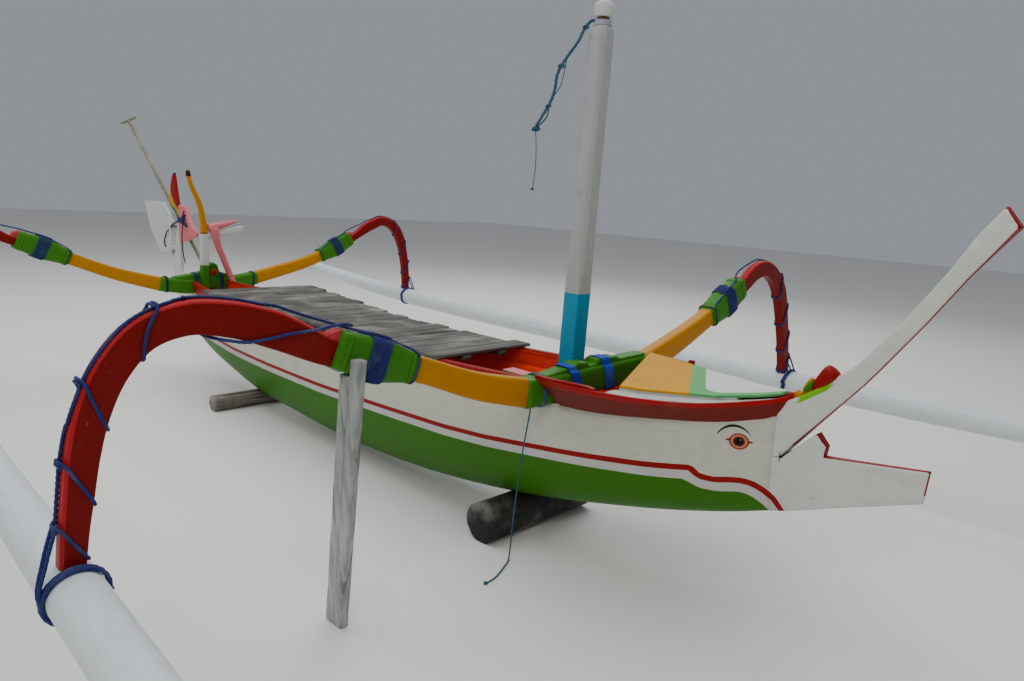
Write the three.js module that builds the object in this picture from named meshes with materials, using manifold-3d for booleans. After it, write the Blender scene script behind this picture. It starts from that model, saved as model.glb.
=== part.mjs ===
// Double-outrigger sailing canoe, drawn up on two logs and a prop post.
// Millimetres. +X is the bow, +Y port, +Z up, and z = 0 is the ground.
// Every x below is measured from the front boom; the whole group is then moved so that
// the middle of the canoe's length comes to the origin.
import * as THREE from 'three';
import { mergeVertices } from 'three/addons/utils/BufferGeometryUtils.js';
import Module from 'manifold-3d';

const wasm = await Module();
wasm.setup();

// Driving dimensions
const FRONT_BOOM_TO_MIDDLE = 1771.9;
const REAR_BOOM_X = -3780;
const GAP = 0.3;
const BOOM_WIDTH = 96;
const YELLOW_WIDTH = 70;
const CROOK_WIDTH = 50;
const SLEEVE_WIDTH = 100;
const SCARF_Y = 1120;
const FLOAT_RADIUS = 70;
const HULL_WALL = 22;
const STRAKE_HEIGHT = 85;
const STRAKE_THICK = 20;
const DECK_BOARD = 18;
const MAST_X = -108;
const MAST_SIDE = 84;
const MAST_RAKE = 0.02;
const LOG_FRONT = { x: -300, radius: 95, from: -300, to: 400 };
const LOG_STERN = { x: -2830, radius: 56, from: -400, to: 330 };
const PROP_POST = { x: 46, y: -1222, top: 1024, footX: -160, footY: -1131, depth: 85, width: 36 };
const RUDDER_AXIS_X = -4450;

const COLOURS = {
  cream: 0xe9e4d6,
  white: 0xeceae4,
  red: 0xb3121c,
  darkRed: 0x7c1a1c,
  yellow: 0xe09a12,
  green: 0x4f9a22,
  blue: 0x1b2f8c,
  cyan: 0x2a9fc4,
  pink: 0xd2707c,
  greyWood: 0x7d776c,
  rawWood: 0x8a7a62,
  darkWood: 0x3b352f,
  cord: 0x2d5f78,
};

const group = new THREE.Group();
group.position.x = FRONT_BOOM_TO_MIDDLE;

function add(name, geometry, colour, roughness = 0.55) {
  const material = new THREE.MeshStandardMaterial({ color: colour, roughness, metalness: 0 });
  const mesh = new THREE.Mesh(geometry, material);
  mesh.name = name;
  group.add(mesh);
}

// Solids and booleans

function toManifold(geometry) {
  const bare = geometry.clone();
  for (const key of ['normal', 'uv', 'uv1']) bare.deleteAttribute(key);
  const merged = mergeVertices(bare, 1e-4);
  const vertProperties = new Float32Array(merged.attributes.position.array);
  const triVerts = new Uint32Array(merged.index.array);
  return new wasm.Manifold(new wasm.Mesh({ numProp: 3, vertProperties, triVerts }));
}

function toGeometry(solid) {
  const mesh = solid.getMesh();
  const geometry = new THREE.BufferGeometry();
  const positions = new Float32Array(mesh.vertProperties);
  geometry.setAttribute('position', new THREE.BufferAttribute(positions, 3));
  geometry.setIndex(new THREE.BufferAttribute(new Uint32Array(mesh.triVerts), 1));
  return geometry;
}

function cut(geometry, ...tools) {
  return toGeometry(tools.reduce((solid, tool) => solid.subtract(toManifold(tool)), toManifold(geometry)));
}

function join(geometry, ...others) {
  return toGeometry(others.reduce((solid, other) => solid.add(toManifold(other)), toManifold(geometry)));
}

function common(geometry, other) {
  return toGeometry(toManifold(geometry).intersect(toManifold(other)));
}

function box(x0, x1, y0, y1, z0, z1) {
  const geometry = new THREE.BoxGeometry(x1 - x0, y1 - y0, z1 - z0);
  return geometry.translate((x0 + x1) / 2, (y0 + y1) / 2, (z0 + z1) / 2);
}

// A closed body through rings of equally many points, with flat fans as its two ends.
function loft(rings) {
  const count = rings[0].length;
  const positions = rings.flat(2);
  const index = [];
  for (let ring = 0; ring + 1 < rings.length; ring += 1) {
    for (let k = 0; k < count; k += 1) {
      const next = (k + 1) % count;
      const a = ring * count + k;
      const b = ring * count + next;
      index.push(a, b, b + count, a, b + count, a + count);
    }
  }
  const last = (rings.length - 1) * count;
  const fan = THREE.ShapeUtils.triangulateShape(flatten(rings[0]), []);
  const fanEnd = THREE.ShapeUtils.triangulateShape(flatten(rings[rings.length - 1]), []);
  for (const [a, b, c] of fan) index.push(a, c, b);
  for (const [a, b, c] of fanEnd) index.push(last + a, last + b, last + c);
  const geometry = new THREE.BufferGeometry();
  geometry.setAttribute('position', new THREE.Float32BufferAttribute(positions, 3));
  geometry.setIndex(index);
  return signedVolume(geometry) < 0 ? turnedOut(geometry) : geometry;
}

// A ring's own plane, as two coordinates, so that its end can be filled.
function flatten(ring) {
  const centre = new THREE.Vector3();
  const points = ring.map((p) => new THREE.Vector3(...p));
  for (const p of points) centre.addScaledVector(p, 1 / points.length);
  const normal = new THREE.Vector3();
  points.forEach((p, k) => {
    const next = points[(k + 1) % points.length];
    normal.add(p.clone().sub(centre).cross(next.clone().sub(centre)));
  });
  normal.normalize();
  const u = points[0].clone().sub(centre);
  u.addScaledVector(normal, -u.dot(normal)).normalize();
  const v = normal.clone().cross(u);
  return points.map((p) => new THREE.Vector2(p.clone().sub(centre).dot(u), p.clone().sub(centre).dot(v)));
}

function signedVolume(geometry) {
  const p = geometry.attributes.position;
  const index = geometry.index.array;
  let volume = 0;
  for (let k = 0; k < index.length; k += 3) {
    const [a, b, c] = [0, 1, 2].map((n) => new THREE.Vector3().fromBufferAttribute(p, index[k + n]));
    volume += a.dot(b.cross(c)) / 6;
  }
  return volume;
}

function turnedOut(geometry) {
  const index = geometry.index.array;
  for (let k = 0; k < index.length; k += 3) [index[k + 1], index[k + 2]] = [index[k + 2], index[k + 1]];
  return geometry;
}

// A bar that lies in the plane of a boom follows rows of [y, z, depth]. Its sections are
// rectangles with the corners taken off, square to the bar's own line. Pieces of one bar
// share the same sections, so that they meet and sleeve one another exactly.
const STEPS_PER_ROW = 3;

function lineAcross(rows, cuts = []) {
  const points = rows.map(([y, z]) => new THREE.Vector3(0, y, z));
  const curve = new THREE.CatmullRomCurve3(points, false, 'centripetal');
  const paramAt = (y) => {
    let [low, high] = [0, 1];
    const rising = rows[rows.length - 1][0] > rows[0][0];
    for (let k = 0; k < 40; k += 1) {
      const middle = (low + high) / 2;
      if ((curve.getPoint(middle).y < y) === rising) low = middle;
      else high = middle;
    }
    return (low + high) / 2;
  };
  const count = (rows.length - 1) * STEPS_PER_ROW;
  const even = Array.from({ length: count + 1 }, (_, k) => k / count);
  const cutParams = cuts.map(paramAt);
  const near = 0.2 / count;
  const kept = even.filter((t) => cutParams.every((c) => Math.abs(c - t) > near));
  const params = [...kept, ...cutParams].sort((m, n) => m - n);
  return { rows, curve, paramAt, params };
}

function depthAt(rows, t) {
  const place = Math.min(t * (rows.length - 1), rows.length - 1.001);
  const low = Math.floor(place);
  return THREE.MathUtils.lerp(rows[low][2], rows[low + 1][2], place - low);
}

function barAcross(line, atX, width, { from = null, to = null, grow = 0, depth = null } = {}) {
  const start = from === null ? 0 : line.paramAt(from);
  const end = to === null ? 1 : line.paramAt(to);
  const inside = line.params.filter((t) => t > start + 1e-6 && t < end - 1e-6);
  const rings = [start, ...inside, end].map((t) => {
    const p = line.curve.getPoint(t);
    const along = line.curve.getTangent(t);
    const a = width / 2 + grow;
    const b = (depth ? depth((t - start) / (end - start)) : depthAt(line.rows, t)) / 2 + grow;
    const chamfer = Math.min(width, 2 * b - 2 * grow) * 0.17;
    const corners = [
      [a, b - chamfer], [a - chamfer, b], [-a + chamfer, b], [-a, b - chamfer],
      [-a, -b + chamfer], [-a + chamfer, -b], [a - chamfer, -b], [a, -b + chamfer],
    ];
    return corners.map(([s, h]) => [atX + s, p.y - along.z * h, p.z + along.y * h]);
  });
  return loft(rings);
}

function mirrored(rows, side) {
  return rows.map(([y, ...rest]) => [side * y, ...rest]);
}

// Hull

// x, keel height, sheer height, half beam
const HULL_STATIONS = [
  [-4180, 440, 728, 26],
  [-3950, 340, 695, 92],
  [-3600, 240, 670, 165],
  [-3100, 145, 668, 225],
  [-2800, 96, 668, 246],
  [-2400, 72, 670, 262],
  [-1600, 50, 672, 280],
  [-800, 100, 685, 285],
  [-200, 193, 714, 280],
  [250, 298, 742, 258],
  [600, 393, 788, 198],
  [780, 450, 822, 118],
  [880, 488, 850, 62],
];
// Half section, keel to sheer: share of the half beam, share of the height
const HULL_SECTION = [[0.05, 0], [0.3, 0.03], [0.56, 0.12], [0.77, 0.27], [0.9, 0.47], [0.97, 0.72], [1, 1]];

function hullSize(x) {
  const k = Math.max(1, HULL_STATIONS.findIndex((row) => row[0] >= x));
  const [a, b] = [HULL_STATIONS[k - 1], HULL_STATIONS[k]];
  const t = (x - a[0]) / (b[0] - a[0]);
  const [, keel, sheer, half] = a.map((value, n) => THREE.MathUtils.lerp(value, b[n], t));
  return { keel, sheer, half };
}

function hullRing(x, wall = 0, lift = 0) {
  const { keel, sheer, half } = hullSize(x);
  const top = sheer - keel;
  const points = HULL_SECTION.map(([w, h]) => [(half - wall) * w, wall * 1.3 + (top - wall * 1.3) * h]);
  points[points.length - 1][1] = top + lift;
  const port = points.map(([y, h]) => [x, y, keel + h]);
  const starboard = points.map(([y, h]) => [x, -y, keel + h]).reverse();
  return [...port, ...starboard];
}

const hullSolid = loft(HULL_STATIONS.map(([x]) => hullRing(x)));
const hullGrown = loft(HULL_STATIONS.map(([x]) => hullRing(x, -GAP, GAP)));
const INSIDE_STATIONS = [-3900, ...HULL_STATIONS.slice(2, 10).map(([x]) => x), 740];
const hullInside = loft(INSIDE_STATIONS.map((x) => hullRing(x, HULL_WALL, 200)));

// Booms and arms, each as rows of [distance from the centreline, height, depth].
// The four crooks are grown wood, so no two are alike.
const ARMS = [
  {
    name: 'front_starboard', side: -1, x: 0, floatY: 2000,
    rows: [
      [400, 782, 118], [660, 846, 104], [930, 941, 92], [1180, 1018, 108], [1310, 1065, 118],
      [1460, 1122, 110], [1600, 1164, 98], [1710, 1174, 90], [1820, 1140, 88], [1893, 1062, 86],
      [1940, 960, 82], [1966, 850, 76], [1980, 750, 70], [1992, 660, 64], [2000, 575, 60],
    ],
  },
  {
    name: 'front_port', side: 1, x: 0, floatY: 2000,
    rows: [
      [400, 797, 118], [660, 876, 108], [930, 974, 92], [1150, 1070, 104], [1310, 1156, 108],
      [1450, 1218, 92], [1560, 1228, 84], [1680, 1182, 88], [1780, 1088, 90], [1855, 950, 86],
      [1910, 820, 80], [1950, 700, 74], [1985, 575, 68],
    ],
  },
  {
    name: 'rear_starboard', side: -1, x: REAR_BOOM_X, floatY: 1920,
    rows: [
      [370, 745, 104], [670, 829, 88], [920, 926, 84], [1140, 1021, 90], [1357, 1106, 86],
      [1500, 1168, 84], [1620, 1196, 82], [1740, 1160, 82], [1825, 1060, 78], [1880, 920, 72],
      [1905, 780, 68], [1920, 620, 62],
    ],
  },
  {
    name: 'rear_port', side: 1, x: REAR_BOOM_X, floatY: 1920,
    rows: [
      [370, 768, 100], [600, 825, 96], [860, 897, 88], [1145, 1025, 92], [1330, 1130, 88],
      [1490, 1210, 84], [1625, 1254, 82], [1755, 1198, 82], [1830, 1090, 78], [1885, 920, 72],
      [1908, 780, 68], [1920, 620, 62],
    ],
  },
];
const CENTRE_ROWS = {
  front: [[-410, 781, 118], [-200, 782, 118], [0, 790, 118], [200, 793, 118], [410, 797, 118]],
  rear: [[-380, 747, 104], [-180, 722, 110], [0, 722, 112], [180, 735, 110], [380, 770, 100]],
};
const BOOM_X = { front: 0, rear: REAR_BOOM_X };

// Floats: x, distance from the centreline, height, radius
const FLOAT_STATIONS = [
  [-5350, 1890, 668, 44],
  [-5000, 1896, 632, 58],
  [-3780, 1920, 552, FLOAT_RADIUS],
  [-1900, 1960, 518, FLOAT_RADIUS],
  [0, 2000, 510, FLOAT_RADIUS],
  [1300, 2025, 518, 62],
  [2000, 2036, 545, 46],
];

function floatBody(side, grow = 0) {
  const sides = 20;
  return loft(FLOAT_STATIONS.map(([x, y, z, radius]) => Array.from({ length: sides }, (_, k) => {
    const angle = (k / sides) * 2 * Math.PI;
    return [x, side * y + (radius + grow) * Math.cos(angle), z + (radius + grow) * Math.sin(angle)];
  })));
}

function floatAt(x) {
  const k = Math.max(1, FLOAT_STATIONS.findIndex((row) => row[0] >= x));
  const [a, b] = [FLOAT_STATIONS[k - 1], FLOAT_STATIONS[k]];
  return a.map((value, n) => THREE.MathUtils.lerp(value, b[n], (x - a[0]) / (b[0] - a[0])));
}

add('float_starboard', floatBody(-1), COLOURS.white, 0.5);
add('float_port', floatBody(1), COLOURS.white, 0.5);

const SLEEVE_FROM = 965;
const SLEEVE_TO = 1270;
const SLEEVE_LAP = 60;
const SLEEVE_DEPTHS = [98, 118, 140, 142, 128, 122];

function sleeveDepth(share) {
  const place = Math.min(share * (SLEEVE_DEPTHS.length - 1), SLEEVE_DEPTHS.length - 1.001);
  const low = Math.floor(place);
  return THREE.MathUtils.lerp(SLEEVE_DEPTHS[low], SLEEVE_DEPTHS[low + 1], place - low);
}

function sleeveBar(line, side, x, grow = 0) {
  const ends = { from: side * SLEEVE_FROM, to: side * SLEEVE_TO };
  return barAcross(line, x, SLEEVE_WIDTH, { ...ends, grow, depth: sleeveDepth });
}

const armLines = ARMS.map((arm) => {
  const inner = arm.rows[0][0] + GAP;
  const sleeveEnds = [SLEEVE_FROM - SLEEVE_LAP, SLEEVE_FROM, SLEEVE_TO, SLEEVE_TO + SLEEVE_LAP];
  const cuts = [inner, SCARF_Y, SCARF_Y + GAP, ...sleeveEnds];
  return lineAcross(mirrored(arm.rows, arm.side), cuts.map((y) => arm.side * y));
});

const centreLines = { front: lineAcross(CENTRE_ROWS.front), rear: lineAcross(CENTRE_ROWS.rear) };
const frontNotch = barAcross(centreLines.front, BOOM_X.front, BOOM_WIDTH, { grow: GAP });
const rearNotch = barAcross(centreLines.rear, BOOM_X.rear, BOOM_WIDTH, { grow: GAP });
for (const [place, end] of [['front', ARMS[0].rows[0][0]], ['rear', ARMS[2].rows[0][0]]]) {
  const whole = barAcross(centreLines[place], BOOM_X[place], BOOM_WIDTH);
  add(`boom_${place}_centre`, common(whole, box(-5000, 1000, -end, end, 0, 2000)), COLOURS.green);
}

ARMS.forEach((arm, k) => {
  const line = armLines[k];
  const piece = (width, from, to, grow = 0) => barAcross(line, arm.x, width, {
    from: arm.side * from, to: to === null ? null : arm.side * to, grow,
  });
  const innerEnd = arm.rows[0][0] + GAP;
  const yellow = cut(piece(YELLOW_WIDTH, innerEnd, SCARF_Y), box(-5000, 1000, -innerEnd, innerEnd, 0, 2000));
  add(`boom_${arm.name}`, yellow, COLOURS.yellow);
  const crook = piece(CROOK_WIDTH, SCARF_Y + GAP, null);
  add(`crook_${arm.name}`, cut(crook, floatBody(arm.side, GAP)), COLOURS.red);
  const yellowHole = piece(YELLOW_WIDTH, SLEEVE_FROM - SLEEVE_LAP, SCARF_Y + GAP, GAP);
  const crookHole = piece(CROOK_WIDTH, SCARF_Y, SLEEVE_TO + SLEEVE_LAP, GAP);
  add(`sleeve_${arm.name}`, cut(sleeveBar(line, arm.side, arm.x), yellowHole, crookHole), COLOURS.green);

  const ringX = arm.x + CROOK_WIDTH / 2 + 12;
  const [, floatY, floatZ, radius] = floatAt(ringX);
  const [, aheadY, aheadZ] = floatAt(ringX + 10);
  const section = new THREE.EllipseCurve(radius + 7 + 2 * GAP, 0, 7, 11, 0, 2 * Math.PI).getPoints(10);
  const ring = new THREE.LatheGeometry(section, 28);
  const along = new THREE.Vector3(10, arm.side * (aheadY - floatY), aheadZ - floatZ).normalize();
  ring.applyQuaternion(new THREE.Quaternion().setFromUnitVectors(new THREE.Vector3(0, 1, 0), along));
  ring.translate(ringX, arm.side * floatY, floatZ);
  add(`float_lashing_${arm.name}`, ring, COLOURS.blue, 0.8);
});

add('hull', cut(hullSolid, hullInside, frontNotch, rearNotch), COLOURS.cream, 0.45);

// Painted side strakes between the booms, with a broader rail on top
const STRAKE_STATIONS = [-3720, -3600, -3100, -2400, -1600, -800, -200, -52];
for (const [name, side] of [['strake_port', 1], ['strake_starboard', -1]]) {
  const rings = STRAKE_STATIONS.map((x) => {
    const { sheer, half } = hullSize(x);
    const base = sheer + GAP;
    const profile = [
      [half - STRAKE_THICK, base], [half, base], [half, base + STRAKE_HEIGHT - 18],
      [half + 10, base + STRAKE_HEIGHT - 18], [half + 10, base + STRAKE_HEIGHT],
      [half - STRAKE_THICK - 6, base + STRAKE_HEIGHT], [half - STRAKE_THICK - 6, base + STRAKE_HEIGHT - 18],
      [half - STRAKE_THICK, base + STRAKE_HEIGHT - 18],
    ];
    return profile.map(([y, z]) => [x, side * y, z]);
  });
  add(name, cut(loft(rings), rearNotch, frontNotch), COLOURS.red);
}

// Prow: a side view cut out of a plan view, so that it tapers to a plank
const PROW_SIDE = [
  [880.3, 488], [1351, 676], [1357, 783], [1039, 739], [1043, 776], [1007, 814], [900, 697],
  [905, 716], [1113, 1005], [1303, 1301], [1462, 1545], [1473, 1553], [1448, 1590], [1290, 1381],
  [1099, 1099], [925, 921], [880.3, 905],
];
// x, half thickness
const PROW_PLAN = [[879, 62], [930, 42], [1000, 25], [1090, 15], [1350, 11], [1410, 16], [1480, 36]];

function plank(side, plan) {
  const sideShape = new THREE.Shape(side.map(([x, z]) => new THREE.Vector2(x, z)));
  const sideSolid = new THREE.ExtrudeGeometry(sideShape, { depth: 400, bevelEnabled: false });
  sideSolid.translate(0, 0, -200).rotateX(Math.PI / 2);
  const outline = [...plan.map(([x, y]) => [x, y]), ...plan.map(([x, y]) => [x, -y]).reverse()];
  const planShape = new THREE.Shape(outline.map(([x, y]) => new THREE.Vector2(x, y)));
  const planSolid = new THREE.ExtrudeGeometry(planShape, { depth: 2000, bevelEnabled: false });
  return common(sideSolid, planSolid);
}

const prow = plank(PROW_SIDE, PROW_PLAN);
add('prow', prow, COLOURS.cream, 0.45);
const prowRoom = plank(PROW_SIDE, PROW_PLAN.map(([x, half]) => [x, half + GAP]));

// Bow washboards: x, foot half breadth, foot height, top half breadth, top height
const WASHBOARD_STATIONS = [
  [120, 262, 736, 395, 858],
  [440, 230, 770, 335, 858],
  [660, 170, 800, 238, 872],
  [800, 104, 828, 132, 896],
  [876, 60, 851, 72, 915],
  [915, 30, 872, 36, 932],
];
const WASHBOARD_THICK = 22;
for (const [name, side] of [['washboard_port', 1], ['washboard_starboard', -1]]) {
  const rings = WASHBOARD_STATIONS.map(([x, footY, footZ, topY, topZ]) => {
    const profile = [
      [footY - WASHBOARD_THICK, footZ - 12], [footY, footZ - 12],
      [topY + WASHBOARD_THICK / 2, topZ], [topY - WASHBOARD_THICK / 2, topZ],
    ];
    return profile.map(([y, z]) => [x, side * y, z]);
  });
  const aft = WASHBOARD_STATIONS[0];
  const corner = [
    [aft[1] - WASHBOARD_THICK, aft[2] - 12], [aft[1], aft[2] - 12],
    [aft[3] + WASHBOARD_THICK / 2, aft[4]], [aft[3] - WASHBOARD_THICK / 2, aft[4]],
  ];
  const tip = corner.map(([y, z], k) => [52 + (k < 2 ? 30 : 0), side * y, z]);
  const board = cut(loft([tip, ...rings]), hullGrown, prowRoom, prowRoom.clone().translate(0, 0, GAP));
  add(name, board, COLOURS.darkRed);
}

// Foredeck board, laid a little askew: x, y of its outline
const FOREDECK = [[354, -259], [45, 400], [300, 352], [580, 262],
  [780, 140], [868, 40], [868, -24], [740, -90], [586, -155]];
const FOREDECK_THICK = 12;
const foredeckShape = new THREE.Shape(FOREDECK.map(([x, y]) => new THREE.Vector2(x, y)));
const foredeckPlan = new THREE.ExtrudeGeometry(foredeckShape, { depth: 400, bevelEnabled: false });
foredeckPlan.translate(0, 0, 700);
const foredeckRows = [[0, 0, 0, 395, 858], ...WASHBOARD_STATIONS];
const foredeckBand = loft(foredeckRows.map(([x, , , , top]) => (
  [[x, 500, top + GAP], [x, -500, top + GAP], [x, -500, top + FOREDECK_THICK], [x, 500, top + FOREDECK_THICK]]
)));
// A deeper edge plank runs along its starboard side.
const EDGE_PLANK = [[354, -259], [586, -155], [740, -90], [740, -60], [575, -125], [344, -229]];
const edgePlan = new THREE.Shape(EDGE_PLANK.map(([x, y]) => new THREE.Vector2(x, y)));
const edgePlank = new THREE.ExtrudeGeometry(edgePlan, { depth: 400, bevelEnabled: false });
edgePlank.translate(0, 0, 700);
const edgeBand = loft(foredeckRows.map(([x, , , , top]) => (
  [[x, 500, top - 17], [x, -500, top - 17], [x, -500, top + 4], [x, 500, top + 4]]
)));
add('foredeck', join(common(foredeckPlan, foredeckBand), common(edgePlank, edgeBand)), COLOURS.yellow);

// Stern post with its leaf finial, made the same way
const STERN_SIDE = [
  [-4180.3, 440], [-4300, 520], [-4390, 620], [-4412, 720], [-4422, 835], [-4400, 960], [-4352, 1110],
  [-4332, 1215], [-4390, 1252], [-4492, 1313], [-4489, 1386], [-4467, 1477], [-4434, 1542], [-4400, 1571],
  [-4387, 1539], [-4347, 1400], [-4307, 1285], [-4306, 1225], [-4303, 1105], [-4283, 992], [-4283, 770],
  [-4250, 738], [-4180.3, 728],
];
const STERN_PLAN = [[-4500, 13], [-4300, 14], [-4260, 18], [-4180, 26]];

const sternPost = plank(STERN_SIDE, STERN_PLAN);

// Rudder: a head that turns on two pintles, and a blade drawn up between its cheeks.
// Bracket top, and the x where the bracket is let into the post
const BRACKETS = [[930, -4400], [1140, -4335]];
const PIN_RADIUS = 7;
const PIN_PLAY = 0.5;
const KNUCKLE_RADIUS = 12;
const KNUCKLE_HEIGHT = 46;
const BRACKET_HEIGHT = 16;
const BRACKET_WIDTH = 18;
const STOCK = { from: RUDDER_AXIS_X - 27, to: RUDDER_AXIS_X - 9, half: 17, bottom: 890, top: 1195 };
const CHEEK = { end: -4560, inner: 11, top: 1050 };
const PIVOT = { x: -4522, z: 958, radius: 6, round: 38 };
const BLADE_HALF = 10;

function upright(x, y, z0, z1, radius, sides = 16) {
  const geometry = new THREE.CylinderGeometry(radius, radius, z1 - z0, sides);
  return geometry.rotateX(Math.PI / 2).translate(x, y, (z0 + z1) / 2);
}

const pintles = BRACKETS.flatMap(([z, postX]) => [
  box(RUDDER_AXIS_X, postX, -BRACKET_WIDTH / 2, BRACKET_WIDTH / 2, z - BRACKET_HEIGHT, z),
  upright(RUDDER_AXIS_X, 0, z - BRACKET_HEIGHT, z, BRACKET_WIDTH / 2),
  upright(RUDDER_AXIS_X, 0, z - 2, z + KNUCKLE_HEIGHT - 6, PIN_RADIUS),
]);
add('stern_post', join(sternPost, ...pintles), COLOURS.cream, 0.45);

const stock = box(STOCK.from, STOCK.to, -STOCK.half, STOCK.half, STOCK.bottom, STOCK.top);
const cheeks = [-1, 1].map((side) => {
  const [y0, y1] = [side * CHEEK.inner, side * STOCK.half].sort((m, n) => m - n);
  return box(CHEEK.end, STOCK.from + 1, y0, y1, STOCK.bottom, CHEEK.top);
});
const pivotPin = new THREE.CylinderGeometry(PIVOT.radius, PIVOT.radius, 2 * STOCK.half, 16);
pivotPin.translate(PIVOT.x, 0, PIVOT.z);
const knuckles = BRACKETS.map(([z]) => (
  upright(RUDDER_AXIS_X, 0, z + GAP, z + KNUCKLE_HEIGHT, KNUCKLE_RADIUS)
));
const bracketRoom = BRACKETS.flatMap(([z, postX]) => [
  box(RUDDER_AXIS_X - 15, postX, -40, 40, z - BRACKET_HEIGHT - 6, z + GAP),
  upright(RUDDER_AXIS_X, 0, z - 40, z + 100, PIN_RADIUS + PIN_PLAY),
]);
add('rudder_head', cut(join(stock, ...cheeks, pivotPin, ...knuckles), ...bracketRoom), COLOURS.white);

const bladeNose = Array.from({ length: 7 }, (_, k) => {
  const angle = -Math.PI / 2 + (k / 6) * (Math.PI / 2);
  return [PIVOT.x + PIVOT.round * Math.cos(angle), PIVOT.z + PIVOT.round * Math.sin(angle)];
});
const bladeEdge = PIVOT.x + PIVOT.round;
const BLADE_SIDE = [
  ...bladeNose, [bladeEdge, 1205], [-4590, 1296], [-4615, 1322], [-5060, 1316], [-4935, 1090], [-4728, 897],
];
const bladeShape = new THREE.Shape(BLADE_SIDE.map(([x, z]) => new THREE.Vector2(x, z)));
const blade = new THREE.ExtrudeGeometry(bladeShape, { depth: 2 * BLADE_HALF, bevelEnabled: false });
blade.translate(0, 0, -BLADE_HALF).rotateX(Math.PI / 2);
const pivotHole = new THREE.CylinderGeometry(PIVOT.radius + PIN_PLAY, PIVOT.radius + PIN_PLAY, 60, 16);
add('rudder_blade', cut(blade, pivotHole.translate(PIVOT.x, 0, PIVOT.z)), COLOURS.white);

// Pink knee lashed to the fore side of the stern post
const KNEE_SIDE = [
  [-4330, 1314], [-4171, 1308], [-4105, 1205], [-4041, 1146], [-3966, 1124], [-3968, 1085], [-4122, 1045],
  [-4209, 1025], [-4300, 1010], [-4330, 1120],
];
const KNEE_PLAN = [[-4335, 20], [-4100, 20], [-4030, 12], [-3960, 12]];
const knee = plank(KNEE_SIDE, KNEE_PLAN);
add('stern_knee', cut(knee, sternPost.clone().translate(GAP, 0, 0), sternPost), COLOURS.pink);

// Crutch on the rear boom: post, curved horn, cross beam, roller and brace
const CRUTCH_SIDE = 54;
const CRUTCH_X = REAR_BOOM_X + BOOM_WIDTH / 2 + GAP + CRUTCH_SIDE / 2;
const CRUTCH_Y = -65;
const CRUTCH_TOP = 1125;
const CRUTCH_BEAM = 40;
function squareColumn(x, y, side, z0, z1) {
  return box(x - side / 2, x + side / 2, y - side / 2, y + side / 2, z0, z1);
}
add('crutch_post', squareColumn(CRUTCH_X, CRUTCH_Y, CRUTCH_SIDE, 690, CRUTCH_TOP), COLOURS.white);
const HORN_ROWS = [
  [-65, CRUTCH_TOP + GAP, 50], [-65, 1160, 46], [-75, 1240, 42], [-98, 1350, 36], [-142, 1450, 32],
  [-172, 1530, 34], [-178, 1590, 36],
];
add('crutch_horn', barAcross(lineAcross(HORN_ROWS), CRUTCH_X, 42), COLOURS.yellow);
const beamLine = lineAcross([[CRUTCH_Y, 1102, CRUTCH_BEAM], [240, 1171, CRUTCH_BEAM]]);
const postHole = squareColumn(CRUTCH_X, CRUTCH_Y, CRUTCH_SIDE + 2 * GAP, 690, CRUTCH_TOP + 50);
add('crutch_beam', cut(barAcross(beamLine, CRUTCH_X, CRUTCH_BEAM), postHole), COLOURS.white);
const ROLLER = { thick: 30, thin: 10, length: 224, y: 77, z: 1191.2, tilt: 0.27 };
const roller = new THREE.CylinderGeometry(ROLLER.thin, ROLLER.thick, ROLLER.length, 14);
roller.rotateX(ROLLER.tilt).translate(CRUTCH_X, ROLLER.y, ROLLER.z);
add('crutch_roller', roller, COLOURS.pink);
const BRACE_ROWS = [[0, 1125, 40], [62, 985, 42], [118, 850, 42], [176, 700, 40]];
const railAtCrutch = hullSize(CRUTCH_X);
const braceEnds = [
  barAcross(beamLine, CRUTCH_X, CRUTCH_BEAM + 20, { grow: GAP }),
  box(CRUTCH_X - 60, CRUTCH_X + 60, 50, railAtCrutch.half + 20, 600, railAtCrutch.sheer + STRAKE_HEIGHT + 4),
];
add('crutch_brace', cut(barAcross(lineAcross(BRACE_ROWS), CRUTCH_X, 40), ...braceEnds), COLOURS.pink);

// Blocks that hold the booms down on the hull
// y, z round the front block, with two low bosses, and round the rear one, with a taller one
const SADDLE_FRONT = [
  [-330, 780], [-330, 840], [-151, 862], [-128, 866], [-112, 876], [-45, 870], [-32, 860], [11, 860],
  [20, 876], [96, 876], [162, 874], [184, 866], [380, 866], [380, 780],
];
const SADDLE_REAR = [
  [-275, 700], [-275, 795], [-120, 818], [-42, 840], [-42, 866], [0, 893], [30, 900], [55, 882], [73, 824],
  [180, 806], [180, 700],
];
function saddle(outline, x, half) {
  return loft([x - half, x + half].map((atX) => outline.map(([y, z]) => [atX, y, z])));
}
add('saddle_front', cut(saddle(SADDLE_FRONT, BOOM_X.front, 34), frontNotch), COLOURS.green);
add('saddle_rear', cut(saddle(SADDLE_REAR, BOOM_X.rear, 36), rearNotch), COLOURS.green);

// Mast: square foot in its step, eight-sided above, with a turned cap
const MAST_FOOT = 290;
const MAST_BLUE_TOP = 1148;
const MAST_SHOULDER = 2228;
const mastSections = [
  [MAST_FOOT, MAST_SIDE / 2, 0.12], [MAST_BLUE_TOP, MAST_SIDE / 2, 0.12],
  [MAST_BLUE_TOP + 160, 45, 0.414], [MAST_SHOULDER - 20, 43, 0.414], [MAST_SHOULDER, 38, 0.414],
];
const mastRings = mastSections.map(([z, half, chamfer]) => {
  const c = half * (1 - chamfer);
  const corners = [[half, c], [c, half], [-c, half], [-half, c], [-half, -c], [-c, -half], [c, -half], [half, -c]];
  return corners.map(([x, y]) => [MAST_X + x + MAST_RAKE * (z - MAST_FOOT), y, z]);
});
const topX = MAST_X + MAST_RAKE * (MAST_SHOULDER - MAST_FOOT);
const neck = upright(topX, 0, MAST_SHOULDER - 30, MAST_SHOULDER + 52, 24);
add('mast', join(loft(mastRings), neck), COLOURS.white, 0.5);
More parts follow.
